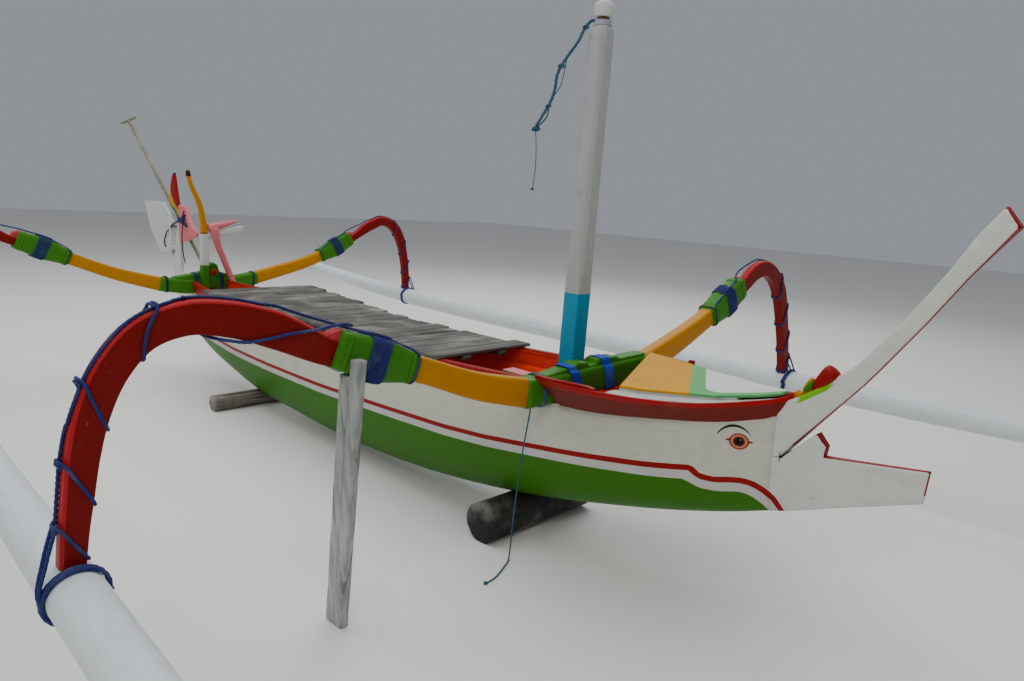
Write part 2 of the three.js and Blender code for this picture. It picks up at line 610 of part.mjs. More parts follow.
const capProfile = [[0, 0], [36, 0], [40, 10], [40, 34], [33, 56], [18, 68], [0, 71]];
const cap = new THREE.LatheGeometry(capProfile.map(([r, h]) => new THREE.Vector2(r, h)), 24);
cap.rotateX(Math.PI / 2).translate(topX + 1, 0, MAST_SHOULDER + 52 + GAP);
add('mast_cap', cap, COLOURS.white, 0.5);
const stepFloor = box(-230, 20, -200, 200, 150, MAST_FOOT - GAP);
const mastStep = common(stepFloor, loft(INSIDE_STATIONS.map((x) => hullRing(x, HULL_WALL + 0.6, 200))));
add('mast_step', mastStep, COLOURS.rawWood);

// Deck of loose slats on two battens, laid over the rails
const DECK_FROM = -3200;
const DECK_TO = -635;
const SLATS = 20;
const slatPitch = (DECK_TO - DECK_FROM) / SLATS;
const deckLevel = (x) => hullSize(x).sheer + STRAKE_HEIGHT + 1.2;

function deckPiece(x0, x1, y0, y1, low, high) {
  const rings = [x0, (x0 + x1) / 2, x1].map((x) => {
    const z = deckLevel(x);
    return [[x, y0, z + low], [x, y1, z + low], [x, y1, z + high], [x, y0, z + high]];
  });
  return loft(rings);
}

const slats = Array.from({ length: SLATS }, (_, k) => {
  const x0 = DECK_FROM + k * slatPitch + 4;
  const reach = THREE.MathUtils.lerp(540, 300, Math.min(1, k / 11)) + 22 * Math.sin(k * 2.4);
  return deckPiece(x0, x0 + slatPitch - 8, -318 + 10 * Math.cos(k * 1.7), reach, 0, DECK_BOARD);
});
const battens = [-120, 120].flatMap((y) => Array.from({ length: SLATS }, (_, k) => {
  const x0 = DECK_FROM + k * slatPitch;
  return deckPiece(x0, x0 + slatPitch, y - 25, y + 25, -24, 2);
}));
add('deck', join(...battens, ...slats), COLOURS.greyWood, 0.85);

// Logs and prop post
// Each log lies on one flat facet.
const LOG_FACETS = 18;
function logAcross({ x, radius, from, to }) {
  const geometry = new THREE.CylinderGeometry(radius, radius, to - from, LOG_FACETS);
  return geometry.rotateY(Math.PI / LOG_FACETS).translate(x, (from + to) / 2, radius * Math.cos(Math.PI / LOG_FACETS));
}
add('log_front', cut(logAcross(LOG_FRONT), hullGrown), COLOURS.darkWood, 0.9);
add('log_stern', cut(logAcross(LOG_STERN), hullGrown), COLOURS.greyWood, 0.9);

const postEnds = [[PROP_POST.footX, PROP_POST.footY, 0], [PROP_POST.x, PROP_POST.y, PROP_POST.top]];
const postRings = postEnds.map(([x, y, z]) => {
  const a = PROP_POST.depth / 2;
  const b = PROP_POST.width / 2;
  return [[a, b], [-a, b], [-a, -b], [a, -b]].map(([s, t]) => [x + s, y + t, z]);
});
const carried = sleeveBar(armLines[0], -1, 0, GAP);
add('prop_post', cut(loft(postRings), carried), COLOURS.rawWood, 0.9);

// T-handled pole leaning over the stern
const POLE = { foot: [-3820, 34.3, 760], head: [-5508.8, 34.3, 2017], radius: 14, handle: 140, grip: 11 };
const poleAxis = new THREE.Vector3(...POLE.head).sub(new THREE.Vector3(...POLE.foot));
const turn = new THREE.Quaternion().setFromUnitVectors(new THREE.Vector3(0, 1, 0), poleAxis.clone().normalize());
const polePlace = new THREE.Vector3(...POLE.foot).addScaledVector(poleAxis, 0.5);
const poleStick = new THREE.CylinderGeometry(POLE.radius, POLE.radius, poleAxis.length(), 10);
const poleHandle = new THREE.CylinderGeometry(POLE.grip, POLE.grip, POLE.handle, 10);
poleHandle.rotateZ(Math.PI / 2).translate(0, poleAxis.length() / 2, 0);
const poleWhole = join(poleStick, poleHandle).applyQuaternion(turn).translate(...polePlace.toArray());
add('pole', cut(poleWhole, rearNotch), COLOURS.rawWood, 0.8);

// Bow ornament: a red block that leans along the horn's top edge
const KNOB_SIDE = [[965, 940], [986, 1010], [1008, 1037], [1041, 1027], [1030, 990], [1000, 950]];
const knob = plank(KNOB_SIDE, [[960, 14], [1045, 14]]);
add('bow_knob', cut(knob, prow.clone().translate(0, 0, GAP), prow), COLOURS.red);

// Free cords: x, y, z along each
const ANCHOR_CORD = [
  [-30, -318, 721.7], [-32, -318, 690], [-38, -318, 640], [-52, -316, 560], [-66, -314, 460],
  [-78, -312, 360], [-88, -310, 260], [-96, -308, 170], [-102, -305, 90], [-104, -306, 40], [-98, -316, 14], [-84, -336, 5], [-66, -372, 5],
  [-44, -418, 5], [-22, -470, 5], [-10, -545, 5],
];
const HALYARD = [
  [-86.8, -17.6, 2252], [-100, -31, 2251], [-117, -48, 2224], [-135, -64, 2172], [-166, -93, 2106],
  [-181, -108, 2070], [-191, -118, 2031], [-194, -121, 1984], [-201, -127, 1944], [-211, -137, 1911],
  [-230, -155, 1862], [-244, -168, 1821], [-241, -165, 1780], [-238, -163, 1734], [-237, -162, 1652],
  [-242, -167, 1570],
];

function cordTube(points, diameter, steps) {
  const path = new THREE.CatmullRomCurve3(points.map((p) => new THREE.Vector3(...p)));
  const section = new THREE.Shape();
  section.absarc(0, 0, diameter / 2, 0, 2 * Math.PI);
  return new THREE.ExtrudeGeometry(section, { steps, extrudePath: path, curveSegments: 4, bevelEnabled: false });
}

add('anchor_cord', cordTube(ANCHOR_CORD, 7, 70), COLOURS.cord, 0.9);
add('halyard', cordTube(HALYARD, 14, 50), COLOURS.cord, 0.9);

export default group;
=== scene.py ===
# %% [markdown]
# A painted outrigger canoe, propped on logs and a post.
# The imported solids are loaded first, as a fixed frame. Everything after this is made to fit them,
# in metres, with the bow along +X, port along +Y and the ground at z = 0.

# %% Load the frame
import math

import bpy
import numpy as np
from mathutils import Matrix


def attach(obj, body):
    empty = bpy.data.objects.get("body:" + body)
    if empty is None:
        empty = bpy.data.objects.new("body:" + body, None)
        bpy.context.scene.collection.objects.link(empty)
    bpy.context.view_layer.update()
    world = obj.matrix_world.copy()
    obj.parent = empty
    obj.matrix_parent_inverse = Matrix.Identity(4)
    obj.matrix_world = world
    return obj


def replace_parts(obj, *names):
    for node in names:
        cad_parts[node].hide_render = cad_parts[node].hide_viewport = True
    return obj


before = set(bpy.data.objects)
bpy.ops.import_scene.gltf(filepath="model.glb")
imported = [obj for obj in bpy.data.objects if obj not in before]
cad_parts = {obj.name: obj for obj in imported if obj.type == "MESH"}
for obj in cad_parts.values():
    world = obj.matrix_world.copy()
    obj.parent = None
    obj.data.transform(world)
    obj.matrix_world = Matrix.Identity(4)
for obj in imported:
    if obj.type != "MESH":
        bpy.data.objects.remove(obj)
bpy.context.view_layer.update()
MIDDLE = 1.7719   # x of the front boom; every x below is counted from it, and piece() adds this
print(len(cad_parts), "solids")

# %% [markdown]
# The camera stands at eye height off the starboard bow and looks aft across the boat.
# It could be placed by eye and nudged until it looks right. Here its three directions are written
# out as they were solved from the horizon and the booms, so that the rest can be measured with it.

# %% Camera
from mathutils import Matrix, Vector

CAMERA_AT = Vector((1.916 + MIDDLE, -2.480, 1.527))
RIGHT = Vector((0.7119, 0.6995, 0.0617))
UP = Vector((-0.1748, 0.0915, 0.9803))
BACK = Vector((0.6801, -0.7087, 0.1874))
camera = bpy.data.objects.new("camera", bpy.data.cameras.new("camera"))
bpy.context.scene.collection.objects.link(camera)
camera.data.sensor_width = 36.0
camera.data.lens = 25.99
camera.data.clip_end = 60
camera.matrix_world = Matrix.Translation(CAMERA_AT) @ Matrix((RIGHT, UP, BACK)).transposed().to_4x4()
bpy.context.scene.camera = camera
print("camera", [round(c, 3) for c in CAMERA_AT])

# %% [markdown]
# A pale floor and soft studio light from the sides and above. None of it is part of the canoe.
# Large area lamps give soft shadows, and those let the roundness of each timber show.

# %% Floor and light
FLOOR_REACH = 30
floor_mesh = bpy.data.meshes.new("floor")
floor_corners = [(x * FLOOR_REACH, y * FLOOR_REACH, 0) for x, y in ((-1, -1), (1, -1), (1, 1), (-1, 1))]
floor_mesh.from_pydata(floor_corners, [], [(0, 1, 2, 3)])
floor = bpy.data.objects.new("floor", floor_mesh)
bpy.context.scene.collection.objects.link(floor)
floor_paint = bpy.data.materials.new("floor")
floor_paint.use_nodes = True
floor_sockets = floor_paint.node_tree.nodes["Principled BSDF"].inputs
floor_sockets["Base Color"].default_value = (0.80, 0.78, 0.74, 1)
floor_sockets["Roughness"].default_value = 0.9
floor_mesh.materials.append(floor_paint)
world = bpy.data.worlds.new("studio")
world.use_nodes = True
world_sockets = world.node_tree.nodes["Background"].inputs
world_sockets["Color"].default_value = (0.80, 0.86, 0.93, 1)
world_sockets["Strength"].default_value = 0.36
bpy.context.scene.world = world
LAMPS = [
    ("key", (5.5, -6.0, 6.5), (0.5, 0, 0.6), 210, 4.0, (1.0, 0.96, 0.90)),
    ("fill", (-6.0, -7.0, 5.0), (-1.5, 0, 0.6), 140, 5.0, (0.90, 0.95, 1.0)),
    ("rim", (-3.0, 7.0, 6.0), (-1.0, 0, 0.8), 190, 5.0, (1.0, 0.98, 0.95)),
    ("sky", (-1.0, 0.0, 8.5), (-1.0, 0.01, 0), 620, 9.0, (0.96, 0.98, 1.0)),
]
for name, at, aim, watts, size, tint in LAMPS:
    lamp = bpy.data.lights.new(name, "AREA")
    lamp.energy = watts
    lamp.size = size
    lamp.color = tint
    holder = bpy.data.objects.new(name, lamp)
    bpy.context.scene.collection.objects.link(holder)
    holder.location = at
    holder.rotation_euler = (Vector(aim) - Vector(at)).to_track_quat("-Z", "Y").to_euler()
print(len(LAMPS), "lamps")

# %% [markdown]
# Everything new here is a skin worked out with numpy. Blender could model the same boards by hand,
# but a boat is all long curves, and a curve is easiest to keep fair as a formula.
# The first helpers measure a line, and draw a smooth one through a few measured points.

# %% A smooth line through points
def distances(path):
    """How far along the line each point lies: the running sum of the lengths between points."""
    return np.r_[0, np.cumsum(np.linalg.norm(np.diff(path, axis=0), axis=1))]


def through(points, count, dims=3):
    """Between each two points a cubic, whose end slopes are the mean slopes around each point.
    Distance along the first dims columns is the parameter, and the samples are evenly spaced."""
    p = np.asarray(points, float)
    s = distances(p[:, :dims])
    slope = np.gradient(p, s, axis=0)
    t = np.linspace(0, s[-1], count)
    k = np.clip(np.searchsorted(s, t, side="right") - 1, 0, len(s) - 2)
    h = (s[k + 1] - s[k])[:, None]
    u = (t - s[k])[:, None] / h
    a, b = slope[k] * h, slope[k + 1] * h
    return ((2 * u**3 - 3 * u**2 + 1) * p[k] + (u**3 - 2 * u**2 + u) * a
            + (3 * u**2 - 2 * u**3) * p[k + 1] + (u**3 - u**2) * b)


def unit(v):
    """Each row divided by its own length."""
    return v / np.linalg.norm(v, axis=-1, keepdims=True)


print("a quarter circle's middle:", through([(1, 0, 0), (0.707, 0.707, 0), (0, 1, 0)], 3)[1].round(3))

# %% [markdown]
# Each piece becomes one mesh. Its faces have to point outwards, so the helper works out the volume
# that they enclose, and turns them all round when it comes out negative. It also tells the frame
# which body the piece rides on and which solids it stands for.

# %% Make a piece from points and faces
PIECES = []


def piece(name, points, quads, tris=(), body="canoe", paint=None, nodes=(), finish="hull_paint", fields=None):
    """Points in metres, x counted from the front boom. Six times the volume is the sum, over all
    triangles, of a . (b x c)."""
    p = np.asarray(points, float) + (MIDDLE, 0, 0)
    q = np.asarray(quads, int).reshape(-1, 4)
    t = np.asarray(tris, int).reshape(-1, 3)
    corners = np.concatenate([q[:, :3], q[:, [0, 2, 3]], t])
    a, b, c = p[corners[:, 0]], p[corners[:, 1]], p[corners[:, 2]]
    if np.einsum("ij,ij->", a, np.cross(b, c)) < 0:
        q, t = q[:, ::-1], t[:, ::-1]
    mesh = bpy.data.meshes.new(name)
    mesh.from_pydata(p.tolist(), [], q.tolist() + t.tolist())
    mesh.polygons.foreach_set("use_smooth", [True] * len(mesh.polygons))
    for field_name, values in (fields or {}).items():
        attribute = mesh.attributes.new(field_name, "FLOAT", "POINT")
        attribute.data.foreach_set("value", np.asarray(values, np.float32))
    obj = bpy.data.objects.new(name, mesh)
    bpy.context.scene.collection.objects.link(obj)
    mesh.materials.append(paint)
    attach(obj, body)
    if nodes:
        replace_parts(obj, *nodes)
    PIECES.append(obj)
    return obj


# %% [markdown]
# Nearly every part is a section carried along a path, as a moulding is run. The helpers here make
# the sections, carry them, take the sharpness off their corners and close the ends.

# %% Sections
def circle(count):
    """Evenly spaced points of a circle: cosine and sine of the angle."""
    angle = np.linspace(0, 2 * np.pi, count, endpoint=False)
    return np.stack([np.cos(angle), np.sin(angle)], -1)


def pushed(value, power):
    """The size of a value raised to a power, with its sign kept. Under one it swells towards 1."""
    return np.sign(value) * np.abs(value)**power


def squared(count, power=0.45):
    """A circle pushed out towards its square: cosine and sine, each raised to a power under one."""
    angle = np.linspace(0, 2 * np.pi, count, endpoint=False) + np.pi / count
    return np.stack([pushed(np.cos(angle), power), pushed(np.sin(angle), power)], -1)


def rectangle(half_u, half_v):
    """Four corners, counter-clockwise from the lowest."""
    return np.array([[-1, -1], [1, -1], [1, 1], [-1, 1]]) * (half_u, half_v)


def corners_of(*corners):
    """Rings whose corners change along the path: each corner gives its coordinates as arrays or
    plain numbers."""
    return np.stack([np.stack(np.broadcast_arrays(*corner), -1) for corner in corners], 1)


print("square-ish ring:", squared(8).round(2).tolist()[:2])

# %% Skins
def skin(rings):
    """A closed skin over rings of equally many points, with a fan round its own middle at each end."""
    n, m = rings.shape[:2]
    points = np.concatenate([rings.reshape(-1, 3), rings[:1].mean(1), rings[-1:].mean(1)])
    ring, k = np.arange(n - 1)[:, None] * m, np.arange(m)
    after = (k + 1) % m
    quads = np.stack([ring + k, ring + after, ring + m + after, ring + m + k], -1).reshape(-1, 4)
    last = (n - 1) * m
    fans = np.concatenate([
        np.stack([after, k, np.full(m, n * m)], -1),
        np.stack([last + k, last + after, np.full(m, n * m + 1)], -1),
    ])
    return points, quads, fans


def carried(path, side, up, section):
    """Rings along a path: path point i + section x times side + section y times up."""
    side, up = np.broadcast_to(side, path.shape), np.broadcast_to(up, path.shape)
    section = np.broadcast_to(section, (len(path),) + np.shape(section)[-2:])
    return path[:, None] + section[..., :1] * side[:, None] + section[..., 1:] * up[:, None]


def softened(rings, share=0.18):
    """Each corner gives way to three points: a share of the way to the corner before, a point
    drawn in from the corner itself, and the same share of the way to the corner after."""
    before, after = np.roll(rings, 1, axis=-2), np.roll(rings, -1, axis=-2)
    a, b = rings + share * (before - rings), rings + share * (after - rings)
    three = np.stack([a, 0.5 * rings + 0.25 * (a + b), b], -2)
    return three.reshape(rings.shape[:-2] + (-1, rings.shape[-1]))


def dressed(path, side, up, section, share):
    """A bar of any section along a path, with its sharp corners planed off."""
    return skin(softened(carried(path, side, up, section), share))


def turned(profile, centre, axis=(0, 0, 1), around=32):
    """A profile swung round an axis. Its rows are the distance along the axis and the radius."""
    profile = np.asarray(profile, float)
    axis = unit(np.asarray(axis, float))
    side = unit(np.cross(axis, (0.2, 1, 0.1)))
    up = np.cross(axis, side)
    path = np.asarray(centre, float) + profile[:, :1] * axis
    return skin(carried(path, side, up, circle(around) * profile[:, 1:, None]))


def joined(parts):
    """Several skins as one: the second's face numbers start after the first's points, and so on."""
    start = np.cumsum([0] + [len(part[0]) for part in parts[:-1]])
    return (np.concatenate([part[0] for part in parts]),
            np.concatenate([part[1] + k for part, k in zip(parts, start)]),
            np.concatenate([part[2] + k for part, k in zip(parts, start)]))


print("a squared ring, softened:", softened(squared(8)[None]).shape[1], "points")

# %% [markdown]
# Paint is what this boat is about, so one effect serves every painted board: gloss enamel that has
# faded in patches, gone dull with salt, gathered grime and lost a few chips. It is a node group, and
# each material gives it its own colours and amounts. A flat colour would look like plastic here.

# %% Small tools for node trees
def wire(tree, kind, values=None, **settings):
    """One node, with its settings, and its sockets set to values or linked to other sockets."""
    node = tree.nodes.new(kind)
    for key, value in settings.items():
        setattr(node, key, value)
    for key, value in (values or {}).items():
        if isinstance(value, bpy.types.NodeSocket):
            tree.links.new(value, node.inputs[key])
        else:
            node.inputs[key].default_value = value
    return node


def noise(tree, vector, scale, detail=3.0, rough=0.5, warp=0.0):
    """Cloudy noise between 0 and 1; scale counts its patches in a metre."""
    settings = {"Vector": vector, "Scale": scale, "Detail": detail, "Roughness": rough, "Distortion": warp}
    return wire(tree, "ShaderNodeTexNoise", settings).outputs["Fac"]


def stretched(tree, vector, scale=(1, 1, 1), at=(0, 0, 0), turn=(0, 0, 0)):
    """Coordinates scaled, then turned, then moved."""
    settings = {"Vector": vector, "Scale": scale, "Location": at, "Rotation": turn}
    return wire(tree, "ShaderNodeMapping", settings).outputs["Vector"]


def sums(tree, kind, a, b, clamp=False):
    """One sum on two values, such as ADD or MULTIPLY, kept between 0 and 1 if asked."""
    return wire(tree, "ShaderNodeMath", {0: a, 1: b}, operation=kind, use_clamp=clamp).outputs[0]


def between(tree, value, low, high, to_low=0.0, to_high=1.0):
    """to_low at low and under, to_high at high and over, and an eased slope between them."""
    settings = {"Value": value, "From Min": low, "From Max": high, "To Min": to_low, "To Max": to_high}
    return wire(tree, "ShaderNodeMapRange", settings, interpolation_type="SMOOTHSTEP").outputs["Result"]


def blended(tree, share, a, b):
    """Colour a where the share is 0, b where it is 1."""
    return wire(tree, "ShaderNodeMix", {0: share, 6: a, 7: b}, data_type="RGBA").outputs[2]


def over(tree, base, colour, mask):
    """A second coat: the colour covers the base where the mask is 1."""
    return blended(tree, mask, base, colour)


def field(tree, name):
    """A value that the mesh carries at its points."""
    return wire(tree, "ShaderNodeAttribute", attribute_name=name).outputs["Fac"]


def height_of(tree, where):
    """Height over the ground, from the object's own coordinates."""
    return wire(tree, "ShaderNodeSeparateXYZ", {0: where}).outputs["Z"]


print("tools for nodes:", [tool.__name__ for tool in (noise, stretched, sums, between, blended)])

# %% Node groups and colours
def group(name, inputs, outputs):
    """An empty node group with named sockets, and its two end nodes."""
    tree = bpy.data.node_groups.new(name, "ShaderNodeTree")
    for label, kind, value in inputs:
        socket = tree.interface.new_socket(label, in_out="INPUT", socket_type=kind)
        if value is not None:
            socket.default_value = value
    for label, kind in outputs:
        tree.interface.new_socket(label, in_out="OUTPUT", socket_type=kind)
    return tree, tree.nodes.new("NodeGroupInput").outputs, tree.nodes.new("NodeGroupOutput").inputs


COLOUR, NUMBER, ARROW = "NodeSocketColor", "NodeSocketFloat", "NodeSocketVector"


def tone(red, green, blue):
    """A colour as the eye names it, 0 to 255, turned into the light that Blender counts."""
    c = np.array([red, green, blue]) / 255
    return (*np.where(c <= 0.04045, c / 12.92, ((c + 0.055) / 1.055)**2.4).tolist(), 1.0)


print("boat red in light:", [round(c, 3) for c in tone(150, 16, 24)[:3]])

# %% The enamel group
enamel, given, out = group(
    "brushed enamel",
    [("Vector", ARROW, None), ("Colour", COLOUR, (0.8, 0.8, 0.8, 1)), ("Bare", COLOUR, tone(120, 108, 92)),
     ("Wear", NUMBER, 0.3), ("Grime", NUMBER, 0.3)],
    [("Colour", COLOUR), ("Roughness", NUMBER), ("Height", NUMBER)])
patches = noise(enamel, given["Vector"], 2.3, 4, 0.55)
brush = noise(enamel, stretched(enamel, given["Vector"], (9, 40, 40)), 1.0, 3, 0.6, 0.4)
fine = noise(enamel, given["Vector"], 62.0, 5, 0.62)
soil = noise(enamel, given["Vector"], 7.5, 7, 0.68)
fading = between(enamel, patches, 0.35, 0.72, 0.0, 0.004)
faded = blended(enamel, fading, given["Colour"], (0.62, 0.60, 0.57, 1))
streaks = between(enamel, brush, 0.30, 0.75, 0.0, 0.10)
brushed = blended(enamel, streaks, faded, (0.010, 0.008, 0.006, 1))
chip = sums(enamel, "MULTIPLY", given["Wear"], between(enamel, fine, 0.655, 0.69), True)
chip_here = sums(enamel, "MULTIPLY", chip, between(enamel, patches, 0.48, 0.62), True)
grime = sums(enamel, "MULTIPLY", given["Grime"], between(enamel, soil, 0.52, 0.80), True)
chipped = blended(enamel, chip_here, brushed, given["Bare"])
enamel.links.new(blended(enamel, grime, chipped, tone(84, 76, 62)), out["Colour"])
dull = wire(enamel, "ShaderNodeMath", {0: fine, 1: 0.22, 2: 0.34}, operation="MULTIPLY_ADD").outputs[0]
rough = sums(enamel, "ADD", dull, sums(enamel, "MULTIPLY", chip_here, 0.35), True)
enamel.links.new(rough, out["Roughness"])
raised = sums(enamel, "SUBTRACT", sums(enamel, "MULTIPLY", brush, 0.35), chip_here)
enamel.links.new(raised, out["Height"])
print("enamel group:", len(enamel.nodes), "nodes")

# %% [markdown]
# Some timber was never painted, or has lost its paint: the deck, the logs, the split post and the
# pole. Its grain is noise stretched along x, with slow bands of growth, pale stains and cracks.

# %% The bare wood group
timber, given, out = group(
    "weathered timber",
    [("Vector", ARROW, None), ("Light", COLOUR, tone(150, 143, 130)), ("Dark", COLOUR, tone(84, 76, 66)),
     ("Cracks", NUMBER, 0.5)],
    [("Colour", COLOUR), ("Roughness", NUMBER), ("Height", NUMBER)])
grain = noise(timber, stretched(timber, given["Vector"], (1.6, 46, 46)), 1.0, 6, 0.66, 0.5)
rings_of_growth = noise(timber, stretched(timber, given["Vector"], (0.9, 9, 9)), 1.0, 3, 0.5, 0.6)
split = noise(timber, stretched(timber, given["Vector"], (0.8, 24, 24), (3, 7, 1)), 1.0, 2, 0.5, 0.3)
stain = noise(timber, given["Vector"], 5.0, 4, 0.6)
wood = blended(timber, between(timber, grain, 0.30, 0.70), given["Dark"], given["Light"])
growth = between(timber, rings_of_growth, 0.42, 0.66, 0.0, 0.22)
wood = blended(timber, growth, wood, given["Dark"])
wood = blended(timber, between(timber, stain, 0.45, 0.75, 0.0, 0.30), wood, tone(196, 190, 178))
crack = sums(timber, "MULTIPLY", given["Cracks"], between(timber, split, 0.640, 0.668), True)
timber.links.new(blended(timber, crack, wood, tone(30, 26, 22)), out["Colour"])
timber.links.new(between(timber, grain, 0.2, 0.8, 0.95, 0.72), out["Roughness"])
timber.links.new(sums(timber, "SUBTRACT", sums(timber, "MULTIPLY", grain, 0.6), crack), out["Height"])
print("timber group:", len(timber.nodes), "nodes")

# %% Turn the groups into materials
def material(name):
    """A new material: its tree, its shader and its Object coordinates."""
    new = bpy.data.materials.new(name)
    new.use_nodes = True
    tree = new.node_tree
    return new, tree, tree.nodes["Principled BSDF"], tree.nodes.new("ShaderNodeTexCoord").outputs["Object"]


def bumped(tree, shader, height, distance):
    """A bump: the height times a distance in metres, at six tenths of its strength."""
    bump = wire(tree, "ShaderNodeBump", {"Height": height, "Strength": 0.6, "Distance": distance})
    tree.links.new(bump.outputs["Normal"], shader.inputs["Normal"])


def covered(name, effect, distance, settings, turn=(0, 0, 0), **worked_out):
    """A material whose colour, roughness and bump come from one group. Each name in worked_out is
    a socket, with a function of the tree and the coordinates that gives its colours."""
    new, tree, shader, where = material(name)
    values = {"Vector": stretched(tree, where, turn=turn), **settings}
    for socket, pattern in worked_out.items():
        values[socket] = pattern(tree, where)
    surface = wire(tree, "ShaderNodeGroup", values, node_tree=effect)
    tree.links.new(surface.outputs["Colour"], shader.inputs["Base Color"])
    tree.links.new(surface.outputs["Roughness"], shader.inputs["Roughness"])
    bumped(tree, shader, surface.outputs["Height"], distance)
    return new, shader


print("each material starts as a tree, a shader and its coordinates")

# %% Enamel, timber and rope
PRIMER = tone(128, 116, 98)


def enamelled(name, colour, wear=0.5, grime=0.35, bare=PRIMER, coat=0.03, turn=(0, 0, 0), gloss=0.11):
    """Gloss enamel. The colour is one colour, or a pattern: a function of the tree and the
    coordinates that works the colours out."""
    plain = {"Wear": wear, "Grime": grime, "Bare": bare}
    if callable(colour):
        new, shader = covered(name, enamel, 0.0008, plain, turn, Colour=colour)
    else:
        new, shader = covered(name, enamel, 0.0008, {**plain, "Colour": colour}, turn)
    shader.inputs["Coat Weight"].default_value = coat
    shader.inputs["Coat Roughness"].default_value = 0.3
    shader.inputs["Specular IOR Level"].default_value = gloss
    return new


def timbered(name, light, dark, cracks=0.6, turn=(0, 0, 0), depth=0.003):
    """Bare wood whose grain runs along x, unless turn points it another way. light is one colour,
    or a pattern."""
    plain = {"Dark": dark, "Cracks": cracks}
    if callable(light):
        return covered(name, timber, depth, plain, turn, Light=light)[0]
    return covered(name, timber, depth, {**plain, "Light": light}, turn)[0]


def by_board(light):
    """A pattern that makes some boards paler and others darker, by the field called shade."""
    dim = tuple(0.55 * channel for channel in light[:3]) + (1,)
    bright = tuple(min(1, 1.5 * channel) for channel in light[:3]) + (1,)
    return lambda tree, where: blended(tree, field(tree, "shade"), dim, bright)


def roped(name, colour, shade):
    """Laid cord: fine fibres darken it between its strands, and worn patches fade."""
    new, tree, shader, where = material(name)
    fibre = noise(tree, where, 420.0, 3, 0.6)
    worn = noise(tree, where, 14.0, 3, 0.5)
    mixed = blended(tree, between(tree, fibre, 0.35, 0.7), shade, colour)
    fading = between(tree, worn, 0.5, 0.8, 0.0, 0.3)
    tree.links.new(blended(tree, fading, mixed, tone(120, 130, 150)), shader.inputs["Base Color"])
    shader.inputs["Roughness"].default_value = 0.8
    bumped(tree, shader, fibre, 0.0006)
    return new


print("effects that the materials share:", [made.name for made in bpy.data.node_groups])

# %% [markdown]
# The boat has few colours, mixed over and over: red, gold, green, white and rose. Each is named
# once, as the eye sees it in daylight, and the paints that share it then stay alike.

# %% Plain paints, ropes and woods
QUARTER = math.pi / 2
ACROSS, UPRIGHT = (0, 0, QUARTER), (0, QUARTER, 0)   # turns that point the grain off the boat's length
BOAT_RED = tone(138, 12, 10)
GOLD = tone(190, 126, 4)
LEAF_GREEN = tone(54, 120, 18)
CHALK = tone(196, 200, 196)
ROSE = tone(212, 118, 122)
RED = enamelled("red enamel", BOAT_RED)
YELLOW = enamelled("golden enamel", GOLD, turn=ACROSS)
GREEN = enamelled("green enamel", LEAF_GREEN)
WHITE = enamelled("white enamel", CHALK, grime=0.22)
SALT_WHITE = enamelled("salt-worn white", tone(178, 180, 174), wear=1.0, grime=0.7, bare=tone(96, 92, 84))
FLOAT_WHITE = enamelled("float enamel", tone(212, 220, 222), wear=0.15, grime=0.08)
PINK = enamelled("pink enamel", ROSE)
WEDGE_RED = enamelled("pale red enamel", tone(186, 58, 66))
BLUE_ROPE = roped("blue rope", tone(30, 48, 132), tone(10, 16, 66))
DARK_ROPE = roped("dark rope", tone(28, 34, 60), tone(10, 12, 22))
BLUE_BAND = roped("blue webbing", tone(8, 74, 204), tone(2, 44, 150))
SLEEVE_RING = roped("violet cord", tone(74, 56, 122), tone(34, 24, 70))
TEAL_ROPE = roped("teal rope", tone(44, 104, 130), tone(20, 52, 74))
GREY_WOOD = timbered("deck boards", by_board(tone(104, 102, 94)), tone(52, 50, 45), turn=ACROSS)
POST_WOOD = timbered("cracked post", tone(172, 176, 173), tone(124, 128, 124), 0.4, turn=UPRIGHT)
# The bow log's dark wood is partly wet timber and partly painted shade.
WET_LOG_WITH_PAINTED_SHADE = timbered("wet log with painted shade", tone(40, 38, 32), tone(16, 15, 12), 0.9, turn=ACROSS, depth=0.006)
GREY_LOG = timbered("grey log", tone(134, 128, 118), tone(70, 64, 58), turn=ACROSS)
COLLAR_GREY = enamelled("collar paint", tone(158, 154, 170), wear=0.8, grime=0.5)
NECK_WOOD = timbered("mast neck", tone(140, 104, 66), tone(92, 62, 36), 0.2)
POLE_WOOD = timbered("pole", tone(128, 120, 98), tone(104, 95, 74), 0.05)
RAW_WOOD = timbered("raw wood", tone(150, 128, 98), tone(92, 72, 50), 0.3)
print(len(bpy.data.materials), "materials")

# %% [markdown]
# The painted lines are drawn by distance. A field on the mesh says how far each point lies from
# the line, and the material compares it with the line's width. The edge then stays sharp on any
# grid, which painting the corners of the faces would not give.

# %% The hull's painted line
SHEER_LINE = np.array([[-4200, 580], [-3950, 510], [-3600, 440], [-3376, 412], [-2900, 402], [-2388, 400],
    [-1737, 409], [-1205, 430], [-638, 455], [-350, 479], [-41, 518], [230, 552], [456, 584], [620, 611],
    [636, 613], [646, 597], [671, 584], [714, 583], [764, 594], [805, 597], [832, 590], [862, 573],
    [896, 545], [925, 505]]) / 1000


def line_field(points):
    """Distance in the side view from each point to the painted line, negative below it."""
    flat = np.asarray(points)[:, [0, 2]]
    a, b = SHEER_LINE[:-1], SHEER_LINE[1:]
    along = b - a
    share = np.clip(((flat[:, None] - a) * along).sum(-1) / (along**2).sum(-1), 0, 1)
    far = np.linalg.norm(flat[:, None] - (a + share[..., None] * along), axis=-1).min(1)
    return np.where(flat[:, 1] < np.interp(flat[:, 0], *SHEER_LINE.T), -far, far)


SHEER_RED = tone(140, 6, 8)
BAND_WHITE = tone(190, 188, 184)
BOTTOM_GREEN = tone(50, 108, 3)


